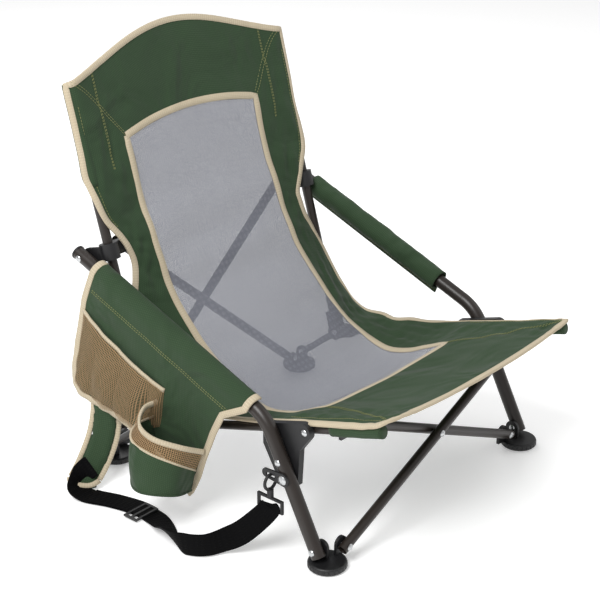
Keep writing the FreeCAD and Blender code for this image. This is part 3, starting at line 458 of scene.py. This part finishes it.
def arch_lift(x, s):
    """How far the arched top edge and window seam lift the cloth at row s."""
    across = min(abs(x) / TOP_HALF, 1.0)
    bell = 0.5 * (1 - across ** 2) + 0.5 * (0.5 + 0.5 * math.cos(math.pi * across))
    window = max(0.0, 1 - (x / SEAM_X) ** 2)
    upper = max(0.0, 1 - s) ** 1.3
    lower = min(s, 1.0) if s < 1 else (ARCH_ROWS - s) / (ARCH_ROWS - 1)
    return ARCH_RISE * bell * upper + WINDOW_RISE * window * lower


def creases(u, v, x):
    """Soft waves in millimetres, stronger beside the poles, with a dart at each top corner."""
    fold = noise.noise(Vector((x / 80, v * 10, 1.7))) * 3.2
    fold += noise.noise(Vector((x / 34, v * 24, 4.1))) * (0.5 + 3.2 * abs(u) ** 3)
    beside = min(1.0, max(0.0, abs(x) - SEAM_X) / 24)
    fold += noise.noise(Vector((x / 13 + v * 14, v * 22, 8.4))) * 4.2 * beside
    fold += noise.noise(Vector((x / 22 - v * 30, v * 40, 2.4))) * 2.6 * beside
    s = v * LAST
    reach = (abs(x) - SEAM_X) / (240.0 - SEAM_X)
    if s < 1.2 and 0 < reach < 1:
        step = (s - 0.98 * (1 - reach)) / 0.035
        fold += 3.0 * math.tanh(step) * math.exp(-abs(step) / 9) * min(1, 8 * reach * (1 - reach))
    return fold


def sling(u, v):
    """A point of the sling: u across from -1 to 1, v along from 0, the top, to 1, the front."""
    half = row_value(4, v)
    edge_y, edge_z = row_value(0, v), row_value(1, v)
    seam_y, seam_z = row_value(2, v), row_value(3, v)
    x = u * half
    share = (1 - abs(u) ** 2.3) / (1 - min(SEAM_X / half, 0.95) ** 2.3)
    y = edge_y + (seam_y - edge_y) * share
    z = edge_z + (seam_z - edge_z) * share
    s = v * LAST
    if s < ARCH_ROWS:
        rise = arch_lift(x, s)
        z += rise
        y += rise * 0.29    # the back's lean
    # the edges turn back round the poles and down over the rails
    past = max(0.0, abs(x) - TURN_X) / (TOP_HALF - TURN_X)
    y += (15.0 if x < 0 else 8.0) * past ** 2 * min(1.0, max(0.0, (3.1 - s) / 1.2))
    if s > 12:
        z -= 10.0 * past ** 2 * min(1.0, (s - 12) / 3)
    edge = min(1.0, (1 - abs(u)) * 9)
    lift = creases(u, v, x) * edge * min(1.0, (1 - v) * 12) * min(1.0, v * 12 + 0.3)
    # a pucker at the far edge where the seat cloth bunches beside the arm
    if x > 150:
        lift += 11.0 * math.exp(-((s - 11.6) / 0.6) ** 2) * ((x - 150) / 90) ** 2
        lift += 4.0 * math.exp(-((s - 13.3) / 0.5) ** 2) * ((x - 150) / 90) ** 2
    # the cut edges are a little wavy
    wave = noise.noise(Vector((v * 30, math.copysign(3.0, u), 6.6))) * 2.2 * abs(u) ** 6
    point = at(x + wave, y, z)
    slope = Vector((0, -0.8, 0.8))
    if v < 0.32:
        slope = Vector((0, -1, 0.3))
    elif v > 0.55:
        slope = Vector((0, -0.35, 1))
    return point + slope.normalized() * lift / 1000


def sling_normal(u, v):
    e = 0.004
    across = sling(min(u + e, 1), v) - sling(max(u - e, -1), v)
    along = sling(u, min(v + e, 1)) - sling(u, max(v - e, 0))
    return along.cross(across).normalized()


V_TOP = WINDOW_TOP / LAST
V_END = WINDOW_END / LAST
SIDE = 20           # grid columns in each side strip
ACROSS = 96
ROWS = LAST * 15


def warped(a, v):
    """Grid shares to sling shares, so that a grid line runs along each window seam."""
    half = row_value(4, v)
    seam = SEAM_X / half
    third = SIDE / ACROSS
    if a < third:
        u = -1 + (1 - seam) * a / third
    elif a > 1 - third:
        u = seam + (1 - seam) * (a - 1 + third) / third
    else:
        u = -seam + 2 * seam * (a - third) / (1 - 2 * third)
    return u, v


def in_window(a, b):
    return SIDE / ACROSS < a < 1 - SIDE / ACROSS and V_TOP < b < V_END


sling_cloth = cloth_grid("sling_cloth", lambda a, b: sling(*warped(a, b)), ACROSS, ROWS, GREEN,
                         keep=lambda a, b: not in_window(a, b), mm=1.6)


def even_share(share):
    """The sling's v at an even share of the window's length, so that all cells are alike."""
    target = share * WINDOW_RUN[-1]
    k = max(1, next((n for n, run in enumerate(WINDOW_RUN) if run >= target), WINDOW_STEPS))
    t = (target - WINDOW_RUN[k - 1]) / (WINDOW_RUN[k] - WINDOW_RUN[k - 1])
    return V_TOP + (V_END - V_TOP) * (k - 1 + t) / WINDOW_STEPS


WINDOW_STEPS = 120
WINDOW_RUN = [0.0]
for step in range(1, WINDOW_STEPS + 1):
    ends = [sling(0.3, V_TOP + (V_END - V_TOP) * n / WINDOW_STEPS) for n in (step - 1, step)]
    WINDOW_RUN.append(WINDOW_RUN[-1] + (ends[1] - ends[0]).length)


def window_part(name, start, stop, rows):
    """A stretch of the window's open mesh between two shares of its length."""
    def surface(a, b):
        v = even_share(start + (stop - start) * b)
        seam = SEAM_X / row_value(4, v)
        return sling(-seam + 2 * seam * a, v)

    grid = cloth_grid(name + "_grid", surface, 148, rows, MESH_GREY, mm=0)
    return grow(name, OPEN_GREY, grid, {"Hole Share": 0.36})


window_mesh = window_part("window_mesh_back", 0.0, 1 / 3, 132)
window_low = window_part("window_mesh_bend", 1 / 3, 2 / 3, 132)
window_seat = window_part("window_mesh_seat", 2 / 3, 1.0, 132)
WINDOWS = [window_mesh, window_low, window_seat]


def seam_points(side, count=70):
    """Along one side seam of the window, top to front."""
    line = []
    for k in range(count + 1):
        v = V_TOP + (V_END - V_TOP) * k / count
        line.append((side * SEAM_X / row_value(4, v), v))
    return line


def across_points(v, low, high, count=30):
    return [(low + (high - low) * k / count, v) for k in range(count + 1)]


def tape_on_sling(name, spots, width, thick=3.4, closed=False):
    """Binding tape on the sling along a list of (u, v)."""
    line = [sling(u, v) for u, v in spots]
    across = []
    for j, (u, v) in enumerate(spots):
        ahead, behind = line[min(j + 1, len(line) - 1)], line[max(j - 1, 0)]
        across.append(sling_normal(u, v).cross((ahead - behind).normalized()))
    return ribbon(name, line, across, width, thick, TAPE, closed)


seam_u = SEAM_X / row_value(4, V_TOP)
end_u = SEAM_X / row_value(4, V_END)
loop_spots = (across_points(V_TOP, -seam_u, seam_u) + seam_points(1)[1:]
              + across_points(V_END, end_u, -end_u)[1:] + seam_points(-1)[::-1][1:])
window_tape = tape_on_sling("window_tape", loop_spots, 12.0)
sling_parts = [sling_cloth, window_tape] + WINDOWS
# the binding that runs all round the sling's outer edge
HEM_U = 0.984
round_spots = across_points(0.0014, -HEM_U, HEM_U, 90)
round_spots += [(HEM_U, 0.0014 + 0.9936 * k / 220) for k in range(1, 220)]
round_spots += across_points(0.995, HEM_U, -HEM_U, 70)
round_spots += [(-HEM_U, 0.995 - 0.9936 * k / 220) for k in range(1, 220)]
edge_tape = tape_on_sling("outer_edge_tape", round_spots, 10.0, 4.0, closed=True)
sling_parts.append(edge_tape)


def raised(spots, mm=1.3):
    """The stitch line on both faces of the sling."""
    front = [sling(u, v) + sling_normal(u, v) * mm / 1000 for u, v in spots]
    rear = [sling(u, v) - sling_normal(u, v) * mm / 1000 for u, v in spots]
    return [front, rear]


rows = []
for side in (-1, 1):
    for x in (188.6, 191.0):
        rows += raised([(side * x / 246, 0.004 + 0.075 * k / 30) for k in range(31)])
    rows += raised([(side * 0.945, 0.02 + 0.14 * k / 30) for k in range(31)])
    rows += raised([(side * 0.93, V_END + (0.985 - V_END) * k / 30) for k in range(31)])
    # from the window's seat corners out to the front edge
    for gap in (0.0, 0.014):
        rows += raised([(side * (end_u + gap + (0.93 - end_u) * t), V_END + (0.965 - V_END) * t)
                        for t in [k / 24 for k in range(25)]])
    # the darts from the window's top corners to the back's corners
    for gap in (-0.0016, 0.0016):
        rows += raised([(side * (seam_u + (0.96 - seam_u) * t), V_TOP * 0.98 * (1 - t) + gap)
                        for t in [0.04 + 0.92 * k / 24 for k in range(25)]])
rows += raised(across_points(0.972, -0.93, 0.93, 60))
sling_parts.append(stitched("sling_stitches", rows))

# ---- sleeves on the poles, the rails and the arms ----------------------------------------
ELBOW_Y, ELBOW_Z = 190, 100     # where a pole's and a rail's axes meet, low at the back
POLE_LEAN = 0.29621             # how far a pole leans back for each millimetre up
RAIL_UP = 0.31242               # rise of a rail for each millimetre towards the front
ARM_Y, ARM_Z = -86.24, 214.99   # a point on an arm's axis
ARM_UP = 0.38787                # rise of an arm for each millimetre towards the back


def tube_sleeve(name, low, high, radius, body, crease=0.6, sides=30):
    """An open cloth sleeve on a straight tube, with small creases."""
    way = (high - low).normalized()
    side = way.cross(Vector((1, 0, 0))).normalized()
    up = side.cross(way)

    def surface(a, b):
        out = side * math.cos(2 * math.pi * a) + up * math.sin(2 * math.pi * a)
        p = low.lerp(high, b)
        q = p + out * radius
        wave = noise.noise(q * 42) * 0.9 + noise.noise(q * 130) * 0.35
        return p + out * (radius + wave * crease / 1000)

    steps = max(12, int((high - low).length / 0.006))
    made = cloth_grid(name, surface, sides, steps, GREEN, mm=1.4)
    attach(made, body)
    return made


def pole_point(side, z):
    """A point on a back pole's axis at a height in millimetres."""
    return at(side * POLE_X, ELBOW_Y + (z - ELBOW_Z) * POLE_LEAN, z)


def rail_point(side, y):
    """A point on a seat rail's axis at a place front to back in millimetres."""
    return at(side * POLE_X, y, ELBOW_Z + (ELBOW_Y - y) * RAIL_UP)


def arm_height(y):
    return ARM_Z + (y - ARM_Y) * ARM_UP


def arm_point(side, y):
    """A point on an arm's axis at a place front to back in millimetres."""
    return at(side * ARM_X, y, arm_height(y))


STITCH_ROWS = {"left_frame": [], "right_frame": []}     # the arms' stitch rows on each body
HEM = Vector((0, 0.36, -0.93)).normalized()
for side, word in ((-1, "right"), (1, "left")):
    body = word + "_frame"
    tube_sleeve("pole_sleeve_" + word, pole_point(side, 474), pole_point(side, 626), 0.0094, body)
    tube_sleeve("rail_sleeve_" + word, rail_point(side, -190), rail_point(side, -280), 0.0094, body)
    tip = rail_point(side, -279)
    end = sweep("rail_sleeve_end_" + word, [tip, tip + rail_point(side, -280) - rail_point(side, -279)],
                24, lambda angle, share, j: Vector((math.cos(angle), 0.3 * math.sin(angle),
                                                    0.954 * math.sin(angle))) * 0.0094, GREEN)
    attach(end, body)
    front, rear = (-46, 262) if side < 0 else (-10, 274)
    cover = tube_sleeve("arm_sleeve_" + word, arm_point(side, front), arm_point(side, rear),
                        0.0148 if side < 0 else 0.0168, body, crease=1.4, sides=36)
    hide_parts("arm_cover_" + word)
    length = (arm_point(side, rear) - arm_point(side, front)).length
    hem_line = [arm_point(side, front + 1 + (rear - front - 2) * k / 40) + HEM * 0.0205
                + Vector((side * 0.004, 0, 0)) for k in range(41)]
    arm_hem = ribbon("arm_hem_" + word, hem_line, [HEM] * 41, 16.0, 3.4, GREEN)
    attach(arm_hem, body)
    for drop in (0.0185, 0.0235):
        for out in (-0.0018, 0.0018):
            STITCH_ROWS[body].append([arm_point(side, front + 4 + (rear - front - 8) * k / 40)
                                      + HEM * drop + Vector((side * 0.004 + out, 0, 0))
                                      for k in range(41)])

# ---- the side pocket --------------------------------------------------------------------
# Its outline unrolled in the arm's plane, in millimetres: front to back, and height. The top
# edge lies past the arm's line because the cloth goes over the arm.
PANEL_EDGE = [(249.76, 381.62), (262, 350), (283, 302), (303, 225), (316, 158), (300, 137),
              (259, 127), (167, 112), (110, 78), (54, 43), (38, 80), (23, 119), (6, 160), (-15, 201),
              (-60, 225.2), (-72.24, 256.82)]
WRAP = 16.2         # radius of the cloth over the arm


def dense(corners, closed=True, steps=8):
    """The corners with more points set evenly between them."""
    line = []
    count = len(corners)
    for k in range(count if closed else count - 1):
        p, q = Vector(corners[k]), Vector(corners[(k + 1) % count])
        line += [p.lerp(q, s / steps) for s in range(steps)]
    return line if closed else line + [Vector(corners[-1])]


def panel_point(y, z, extra=0.0):
    """A point of the panel's cloth from its unrolled place."""
    root = math.hypot(1, ARM_UP)
    over = (z - arm_height(y)) / root
    if over > 0:
        angle = over / WRAP
        foot_y, foot_z = y + over * ARM_UP / root, z - over / root
        rise = WRAP * math.sin(angle)
        return at(-ARM_X - WRAP * math.cos(angle) - extra * math.cos(angle),
                  foot_y - rise * ARM_UP / root, foot_z + rise / root)
    drop = min(1.0, -over / 200)
    wave = noise.noise(Vector((y / 50, z / 80, 3.3))) * 8.0 * drop
    wave += noise.noise(Vector(((y + z * 0.6) / 17, z / 60, 7.3))) * 3.5 * drop
    return at(-ARM_X - WRAP - 4.0 * math.sin(drop * math.pi * 0.5) + wave - extra, y, z)


def filled(name, edge, material, mm=1.4, cell=9.0):
    """A cloth panel inside an unrolled edge line, made of small cells."""
    shell = bmesh.new()
    shell.faces.new([shell.verts.new((p.x, p.y, 0)) for p in edge])
    for k in (0, 1):
        way = Vector((1, ARM_UP, 0)) if k == 0 else Vector((-ARM_UP, 1, 0))
        way.normalize()
        spans = [p.x * way.x + p.y * way.y for p in edge]
        value = min(spans) + cell
        while value < max(spans):
            bmesh.ops.bisect_plane(shell, geom=shell.verts[:] + shell.edges[:] + shell.faces[:],
                                   plane_co=way * value, plane_no=way)
            value += cell
    bmesh.ops.triangulate(shell, faces=[f for f in shell.faces if len(f.verts) > 4])
    index = {v: n for n, v in enumerate(shell.verts)}
    flat = [(v.co.x, v.co.y) for v in shell.verts]
    faces = [tuple(index[v] for v in f.verts) for f in shell.faces]
    shell.free()
    made = piece(name, [panel_point(y, z) for y, z in flat], faces, material,
                 [(y / 1000, z / 1000) for y, z in flat])
    return thicken(made, mm, 1.0)


panel = filled("pocket_panel_cloth", dense(PANEL_EDGE), GREEN)
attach(panel, "right_frame")
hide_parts("pocket_panel")
round(outline_area(PANEL_EDGE), 4)


def panel_tape(name, corners, width, thick=3.6):
    """Binding tape laid on the panel along a line of its unrolled places."""
    flat = dense(corners, closed=False)
    line = [panel_point(p.x, p.y, 0.8) for p in flat]
    across = []
    for j, p in enumerate(flat):
        way = (flat[min(j + 1, len(flat) - 1)] - flat[max(j - 1, 0)]).normalized()
        beside = panel_point(p.x - way.y * 4, p.y + way.x * 4, 0.8)
        across.append((beside - line[j]).normalized())
    made = ribbon(name, line, across, width, thick, TAPE)
    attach(made, "right_frame")
    return made


panel_tape("panel_binding", PANEL_EDGE, 11.0)
for down in (24.0, 28.0):
    STITCH_ROWS["right_frame"].append([
        panel_point(y + down * 0.36, arm_height(y) - down * 0.93, 1.6)
        for y in [-44 + 296 * k / 50 for k in range(51)]])

# the mesh pocket: a pouch with pleats along its lower edge
POCKET_TOP = [(286, 284), (240, 262), (192, 239), (145, 217), (104, 203)]
POCKET_LOW = [(312, 152), (262, 131), (214, 123), (168, 116), (118, 136)]
POCKET_FULLNESS = 1.1   # the pocket is cut a tenth fuller than its outline
POCKET_HOLE = 0.7       # side of a hole over side of its cell
pocket_lines = [smooth_line([Vector((y, z, 0)) for y, z in edge], 8)
                for edge in (POCKET_TOP, POCKET_LOW)]


def part_way(line, share):
    """The point at a share of a line of evenly counted points."""
    k = share * (len(line) - 1)
    i = min(int(k), len(line) - 2)
    return line[i].lerp(line[i + 1], k - i)


def pocket_point(a, b):
    """The mesh pocket's outside: a along its top edge, b down."""
    spot = part_way(pocket_lines[0], a).lerp(part_way(pocket_lines[1], a), b)
    belly = math.sin(math.pi * min(max(a, 0.0), 1.0)) ** 0.6
    swell = (10.0 + 7.0 * math.sin(b * math.pi)) * belly
    pleat = (abs(math.sin(a * 11 + 1.2 * b)) ** 0.6 - 0.6) * 12.0 * b ** 0.7 * belly * (0.3 + a)
    pleat += noise.noise(Vector((a * 7, b * 3, 1.2))) * 6.0 * belly * b
    if b > 0.9:
        swell *= (1 - b) / 0.1 * 0.75 + 0.25
    if b < 0.001:
        swell = 6.0 * belly
    # one deep fold near the front, where the mesh doubles back on itself
    fold = max(-1.0, min(1.0, (a - 0.77 - 0.03 * b) / 0.11))
    spot.x -= 8.5 * math.sin(fold * math.pi) * b ** 0.6
    pleat += 5.0 * math.cos(fold * math.pi / 2) * b ** 0.6 * (1 - 1.6 * max(0.0, min(1.0, fold * 3)))
    return panel_point(spot.x, spot.y, max(1.2, 2.0 + swell + pleat))


pocket_grid = cloth_grid("pocket_grid", pocket_point, 62, 34, MESH_TAN, mm=0)
pocket_mesh = grow("pocket_mesh", OPEN_TAN, pocket_grid, {"Hole Share": POCKET_HOLE})
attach(pocket_mesh, "right_frame")
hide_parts("mesh_pocket")
pocket_tape = ribbon("pocket_top_tape", [pocket_point(k / 30, 0.0) for k in range(31)],
                     [Vector((0, 0, 1))] * 31, 7.0, 2.6, TAPE)
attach(pocket_tape, "right_frame")
# the pocket's cut area in square metres: its outline, cut a tenth fuller
pocket_cut = outline_area(POCKET_TOP + POCKET_LOW[::-1]) * POCKET_FULLNESS

# ---- the cup holder ---------------------------------------------------------------------
# Three lines round the pouch, from its rear seam on the panel, round the outside, to its
# front seam: its rim, the top of its green part and its base.
CUP_RIM = [(-282, 122, 178), (-312, 121, 177), (-345, 96, 170), (-352, 60, 163), (-326, 28, 149),
           (-286, 20, 128)]
CUP_GREEN = [(-282, 131, 150), (-322, 130, 150), (-354, 106, 147), (-359, 64, 141), (-331, 33, 121),
             (-287, 38, 90)]
CUP_BASE = [(-282, 128, 84), (-325, 127, 78), (-356, 108, 73), (-369, 72, 74), (-335, 35, 68),
            (-286, 50, 50)]
BAND_HOLE = 0.62    # side of a hole over side of its cell
cup_lines = [smooth_line([at(*p) for p in line], 12) for line in (CUP_RIM, CUP_GREEN, CUP_BASE)]


def cup_between(upper, lower, belly):
    """The cloth between two of the pouch's lines, belly metres proud in its middle."""
    def surface(a, b):
        spot = part_way(upper, a).lerp(part_way(lower, a), b)
        ripple = noise.noise(spot * 28) * 0.0022 * math.sin(math.pi * a)
        return spot + Vector((-1, 0, 0)) * (belly * math.sin(math.pi * b) * math.sin(math.pi * a)
                                            + ripple)
    return surface


cup_cloth = cloth_grid("cup_cloth", cup_between(cup_lines[1], cup_lines[2], 0.004), 48, 16, GREEN,
                       mm=1.6)
band_grid = cloth_grid("band_grid", cup_between(cup_lines[0], cup_lines[1], 0.0), 66, 9, MESH_TAN,
                       mm=0)
cup_band = grow("cup_band", OPEN_TAN, band_grid, {"Hole Share": BAND_HOLE})
# the cup holder's floor, in the green cloth darkened as painted shade
cup_base = cloth_grid("cup_base", lambda a, b: at(-300, 82, 74).lerp(part_way(cup_lines[2], a), b),
                      48, 6, PAINTED_SHADE_CLOTH, mm=1.6)
cup_tapes = []
for name, line, width, thick, material in (("cup_rim_tape", cup_lines[0], 8.0, 4.0, TAPE),
                                           ("cup_band_tape", cup_lines[1], 3.0, 3.0, TAPE),
                                           ("cup_base_seam", cup_lines[2], 3.0, 3.6, GREEN)):
    cup_tapes.append(ribbon(name, line, [Vector((0, 0, 1))] * len(line), width, thick, material))
for part in [cup_cloth, cup_band, cup_base] + cup_tapes:
    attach(part, "right_frame")
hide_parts("cup_holder")
round(strip_area(CUP_GREEN, CUP_BASE), 4)
round(strip_area(CUP_RIM, CUP_GREEN) * (1 - BAND_HOLE ** 2), 4)

# ---- the carrying strap -----------------------------------------------------------------


def eased(directions, count):
    """Width directions spread evenly along a line and blended between."""
    out = []
    for k in range(count):
        s = k / (count - 1) * (len(directions) - 1)
        i = min(int(s), len(directions) - 2)
        out.append(directions[i].lerp(directions[i + 1], s - i).normalized())
    return out


PAD_WAY = [at(-269, 276, 292), at(-269, 266, 210), at(-271, 254, 140), at(-286, 246, 84),
           at(-314, 246, 36), at(-346, 243, 8)]
pad_line = smooth_line(PAD_WAY, 12)
pad_across = eased([Vector((0, 1, 0)), Vector((-0.1, 1, 0)), Vector((-0.3, 0.9, 0.1)),
                    Vector((-0.5, 0.8, 0.1)), Vector((-0.62, 0.76, 0.1))], len(pad_line))


def pad_shape(width, thick):
    """The pad's section: a flat cushion, half width and half thickness in metres, rounded ends."""
    def shape(angle, share, j):
        behind, ahead = pad_line[max(j - 1, 0)], pad_line[min(j + 1, len(pad_line) - 1)]
        tangent = (ahead - behind).normalized()
        side = (pad_across[j] - tangent * pad_across[j].dot(tangent)).normalized()
        up = tangent.cross(side)
        c, s = math.cos(angle), math.sin(angle)
        ends = min(1.0, (min(share, 1 - share) * 16 + 0.25)) ** 0.5
        a = math.copysign(abs(c) ** 0.55, c) * width * ends
        b = math.copysign(abs(s) ** 0.9, s) * thick * ends
        b *= 1 + 0.14 * noise.noise(Vector((share * 14, a * 90, 5)))
        return side * a + up * b
    return shape


shoulder = sweep("shoulder_pad_cloth", pad_line, 28, pad_shape(0.0245, 0.0038), GREEN)


def map_along(made, line, across):
    """Lay the cloth map along a line, so that the weave follows the piece."""
    lengths = [0.0]
    for p, q in zip(line, line[1:]):
        lengths.append(lengths[-1] + (q - p).length)
    layer = made.data.uv_layers.get("cloth") or made.data.uv_layers.new(name="cloth")
    places = []
    for vertex in made.data.vertices:
        j = min(range(len(line)), key=lambda n: (line[n] - vertex.co).length_squared)
        off = vertex.co - line[j]
        places.append((off.dot(across[j]), lengths[j] + off.dot((line[min(j + 1, len(line) - 1)]
                                                                 - line[max(j - 1, 0)]).normalized())))
    for loop in made.data.loops:
        layer.data[loop.index].uv = places[loop.vertex_index]


def fill_with_foam(made, pressure, limit_mm):
    """Blow a closed cloth skin up gently from inside, as foam does, and keep its shape."""
    even = made.modifiers.new("even", "REMESH")
    even.mode = "VOXEL"
    even.voxel_size = 0.0045
    bpy.context.view_layer.update()
    start = bpy.data.meshes.new_from_object(made.evaluated_get(bpy.context.evaluated_depsgraph_get()))
    made.modifiers.clear()
    made.data = start
    places = [vertex.co.copy() for vertex in start.vertices]
    cloth = made.modifiers.new("cloth", "CLOTH")
    cloth.settings.use_pressure = True
    cloth.settings.uniform_pressure_force = pressure
    cloth.settings.mass = 0.15
    cloth.settings.effector_weights.gravity = 0.0
    cloth.settings.shrink_min = -0.02
    cloth.collision_settings.use_collision = False
    cloth.point_cache.frame_start = 1
    cloth.point_cache.frame_end = 20
    for number in range(1, 21):
        bpy.context.scene.frame_set(number)
    blown = bpy.data.meshes.new_from_object(made.evaluated_get(bpy.context.evaluated_depsgraph_get()))
    made.modifiers.clear()
    for vertex, place in zip(blown.vertices, places):
        move = vertex.co - place
        if move.length > limit_mm / 1000:
            vertex.co = place + move.normalized() * limit_mm / 1000
    made.data = blown
    bpy.context.scene.frame_set(1)
    for face in blown.polygons:
        face.use_smooth = True
    made.data.materials.clear()
    made.data.materials.append(GREEN)


fill_with_foam(shoulder, 4.0, 4.0)
map_along(shoulder, pad_line, pad_across)
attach(shoulder, "right_frame")
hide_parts("shoulder_pad")
for side, word in ((-1, "front"), (1, "rear")):
    line = [p + a * side * 0.0235 for p, a in zip(pad_line[1:-5], pad_across[1:-5])]
    tape = ribbon("pad_tape_" + word, line, pad_across[1:-5], 8.0, 5.0, TAPE)
    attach(tape, "right_frame")

tip_way = (pad_line[-1] - pad_line[-3]).normalized()
tip_line = [pad_line[-1] + pad_across[-1] * 0.0245 * t - tip_way * (0.003 + 0.012 * t ** 4)
            for t in [k / 8 - 1 for k in range(17)]]
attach(ribbon("pad_tape_end", tip_line, [tip_way] * 17, 8.0, 5.0, TAPE), "right_frame")

hook_low, hook_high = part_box("snap_hook")
LOOP = Vector(((hook_low[0] + hook_high[0]) / 2, (hook_low[1] + hook_high[1]) / 2, hook_low[2]))
LOOP.x = at(-275, 0, 0).x
WEB_WAY = [at(-322, 239, 38), at(-340, 246, 28), at(-354, 244, 12), at(-350, 218, 3.2),
           at(-333, 175, 1.8), at(-323, 130, 1.8), at(-325, 90, 1.8), at(-343, 50, 8),
           at(-364, 14, 16), at(-367, -16, 19.5), at(-352, -42, 20.5), at(-326, -56, 23),
           at(-302, -76, 36), Vector((LOOP.x - 0.004, LOOP.y, LOOP.z + 0.001)),
           Vector((LOOP.x - 0.003, LOOP.y, LOOP.z + 0.012))]
web_line = smooth_line(WEB_WAY, 12)
web_across = eased([Vector((-0.6, 0.78, 0.1)), Vector((-0.9, 0.3, 0.3)), Vector((-0.95, -0.3, 0.1)),
                    Vector((-1, 0.1, 0)), Vector((-1, 0.2, 0)), Vector((-1, 0.04, 0)),
                    Vector((-1, -0.1, 0.05)), Vector((-0.9, -0.2, 0.35)), Vector((-0.5, -0.1, 0.85)),
                    Vector((0.0, 0.0, 1)), Vector((0.0, 0.05, 1)), Vector((0.0, 0.25, 0.95)),
                    Vector((0, 0.7, 0.6)), Vector((0, 1, 0.05)), Vector((0, 1, 0))], len(web_line))
webbing = ribbon("webbing", web_line, web_across, 37.0, 2.0, WEBBING)
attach(webbing, "right_frame")
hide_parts("strap_webbing")
# the doubled end behind the slider
tail = ribbon("webbing_tail", [p + Vector((0, 0, 0.0026)) for p in web_line[38:68]],
              web_across[38:68], 36.0, 1.8, WEBBING)
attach(tail, "right_frame")

# ---- ride the sling and measure its cut --------------------------------------------------
for part in sling_parts:
    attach(part, "right_frame")
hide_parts("seat_back_fabric")
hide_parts("mesh_panel")
# the cut: between the side edges, less the window, with the arched top edge and window seam
side_edges = [[(side * row[4], row[0], row[1]) for row in SLING_ROWS] for side in (-1, 1)]
side_seams = [[(side * SEAM_X, row[2], row[3]) for row in SLING_ROWS[WINDOW_TOP:WINDOW_END + 1]]
              for side in (-1, 1)]
arches = 0.583 * ARCH_RISE * 2 * SLING_ROWS[0][4] - 0.667 * WINDOW_RISE * 2 * SEAM_X
sling_cut = strip_area(*side_edges) - strip_area(*side_seams) + arches / 1e6
for part in sling_parts:
    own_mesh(part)
for body, lines in STITCH_ROWS.items():
    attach(stitched("arm_stitches_" + body, lines), body)

# ---- finishes of the CAD nodes -----------------------------------------------------------
for name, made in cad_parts.items():
    finish = PLASTIC
    if "rivet" in name:
        finish = ZINC
    elif any(word in name for word in ("tube", "pole", "seat_rail", "rear_link")):
        finish = COAT
    for slot in made.material_slots:
        slot.link = "OBJECT"
        slot.material = finish

# ---- floor, light and camera ---------------------------------------------------------------


def floor_finish():
    material, tree, shader = finish_of("studio_floor", 0.9)
    shader.inputs["Base Color"].default_value = linear("#f4f4f4")
    shader.inputs["Emission Color"].default_value = (1, 1, 1, 1)
    shader.inputs["Emission Strength"].default_value = 0.3
    return material


bpy.ops.mesh.primitive_plane_add(size=30, location=(0, 0, -0.0005))
floor = bpy.context.object
floor.name = "studio_floor"
floor.data.materials.append(floor_finish())


def light(name, place, power, size, aim=(0.0, 0.0, 0.3)):
    lamp = bpy.data.lights.new(name, "AREA")
    lamp.energy = power
    lamp.size = size
    made = bpy.data.objects.new(name, lamp)
    made.location = place
    made.rotation_euler = (Vector(aim) - Vector(place)).to_track_quat("-Z", "Y").to_euler()
    bpy.context.scene.collection.objects.link(made)
    return made


light("key", (-2.0, -0.4, 2.6), 78, 1.5)
light("fill", (2.4, -1.6, 2.0), 14, 2.6)
light("back", (0.9, 2.2, 2.4), 34, 1.8)
world = bpy.data.worlds.new("studio")
world.use_nodes = True
world.node_tree.nodes["Background"].inputs[0].default_value = (1, 1, 1, 1)
path = node(world.node_tree, "ShaderNodeLightPath")
glow = node(world.node_tree, "ShaderNodeMapRange", {"Value": path.outputs["Is Camera Ray"]},
            To_Min=0.5, To_Max=0.96)
world.node_tree.links.new(glow.outputs[0], world.node_tree.nodes["Background"].inputs[1])
bpy.context.scene.world = world
bpy.context.scene.view_settings.view_transform = "Standard"

camera_data = bpy.data.cameras.new("camera")
camera = bpy.data.objects.new("camera", camera_data)
bpy.context.scene.collection.objects.link(camera)
turn, tilt = math.radians(-48.735), math.radians(23.513)
back = Vector((math.sin(turn) * math.cos(tilt), -math.cos(turn) * math.cos(tilt), math.sin(tilt)))
right = Vector((math.cos(turn), math.sin(turn), 0))
up = back.cross(right)
grid = Matrix((right, up, back)).transposed().to_4x4()
camera.matrix_world = Matrix.Translation(at(-1762.66, -1469.46, 1289.3)) @ grid
camera_data.lens = 94.5
camera_data.sensor_width = 36
bpy.context.scene.camera = camera

bpy.context.view_layer.update()
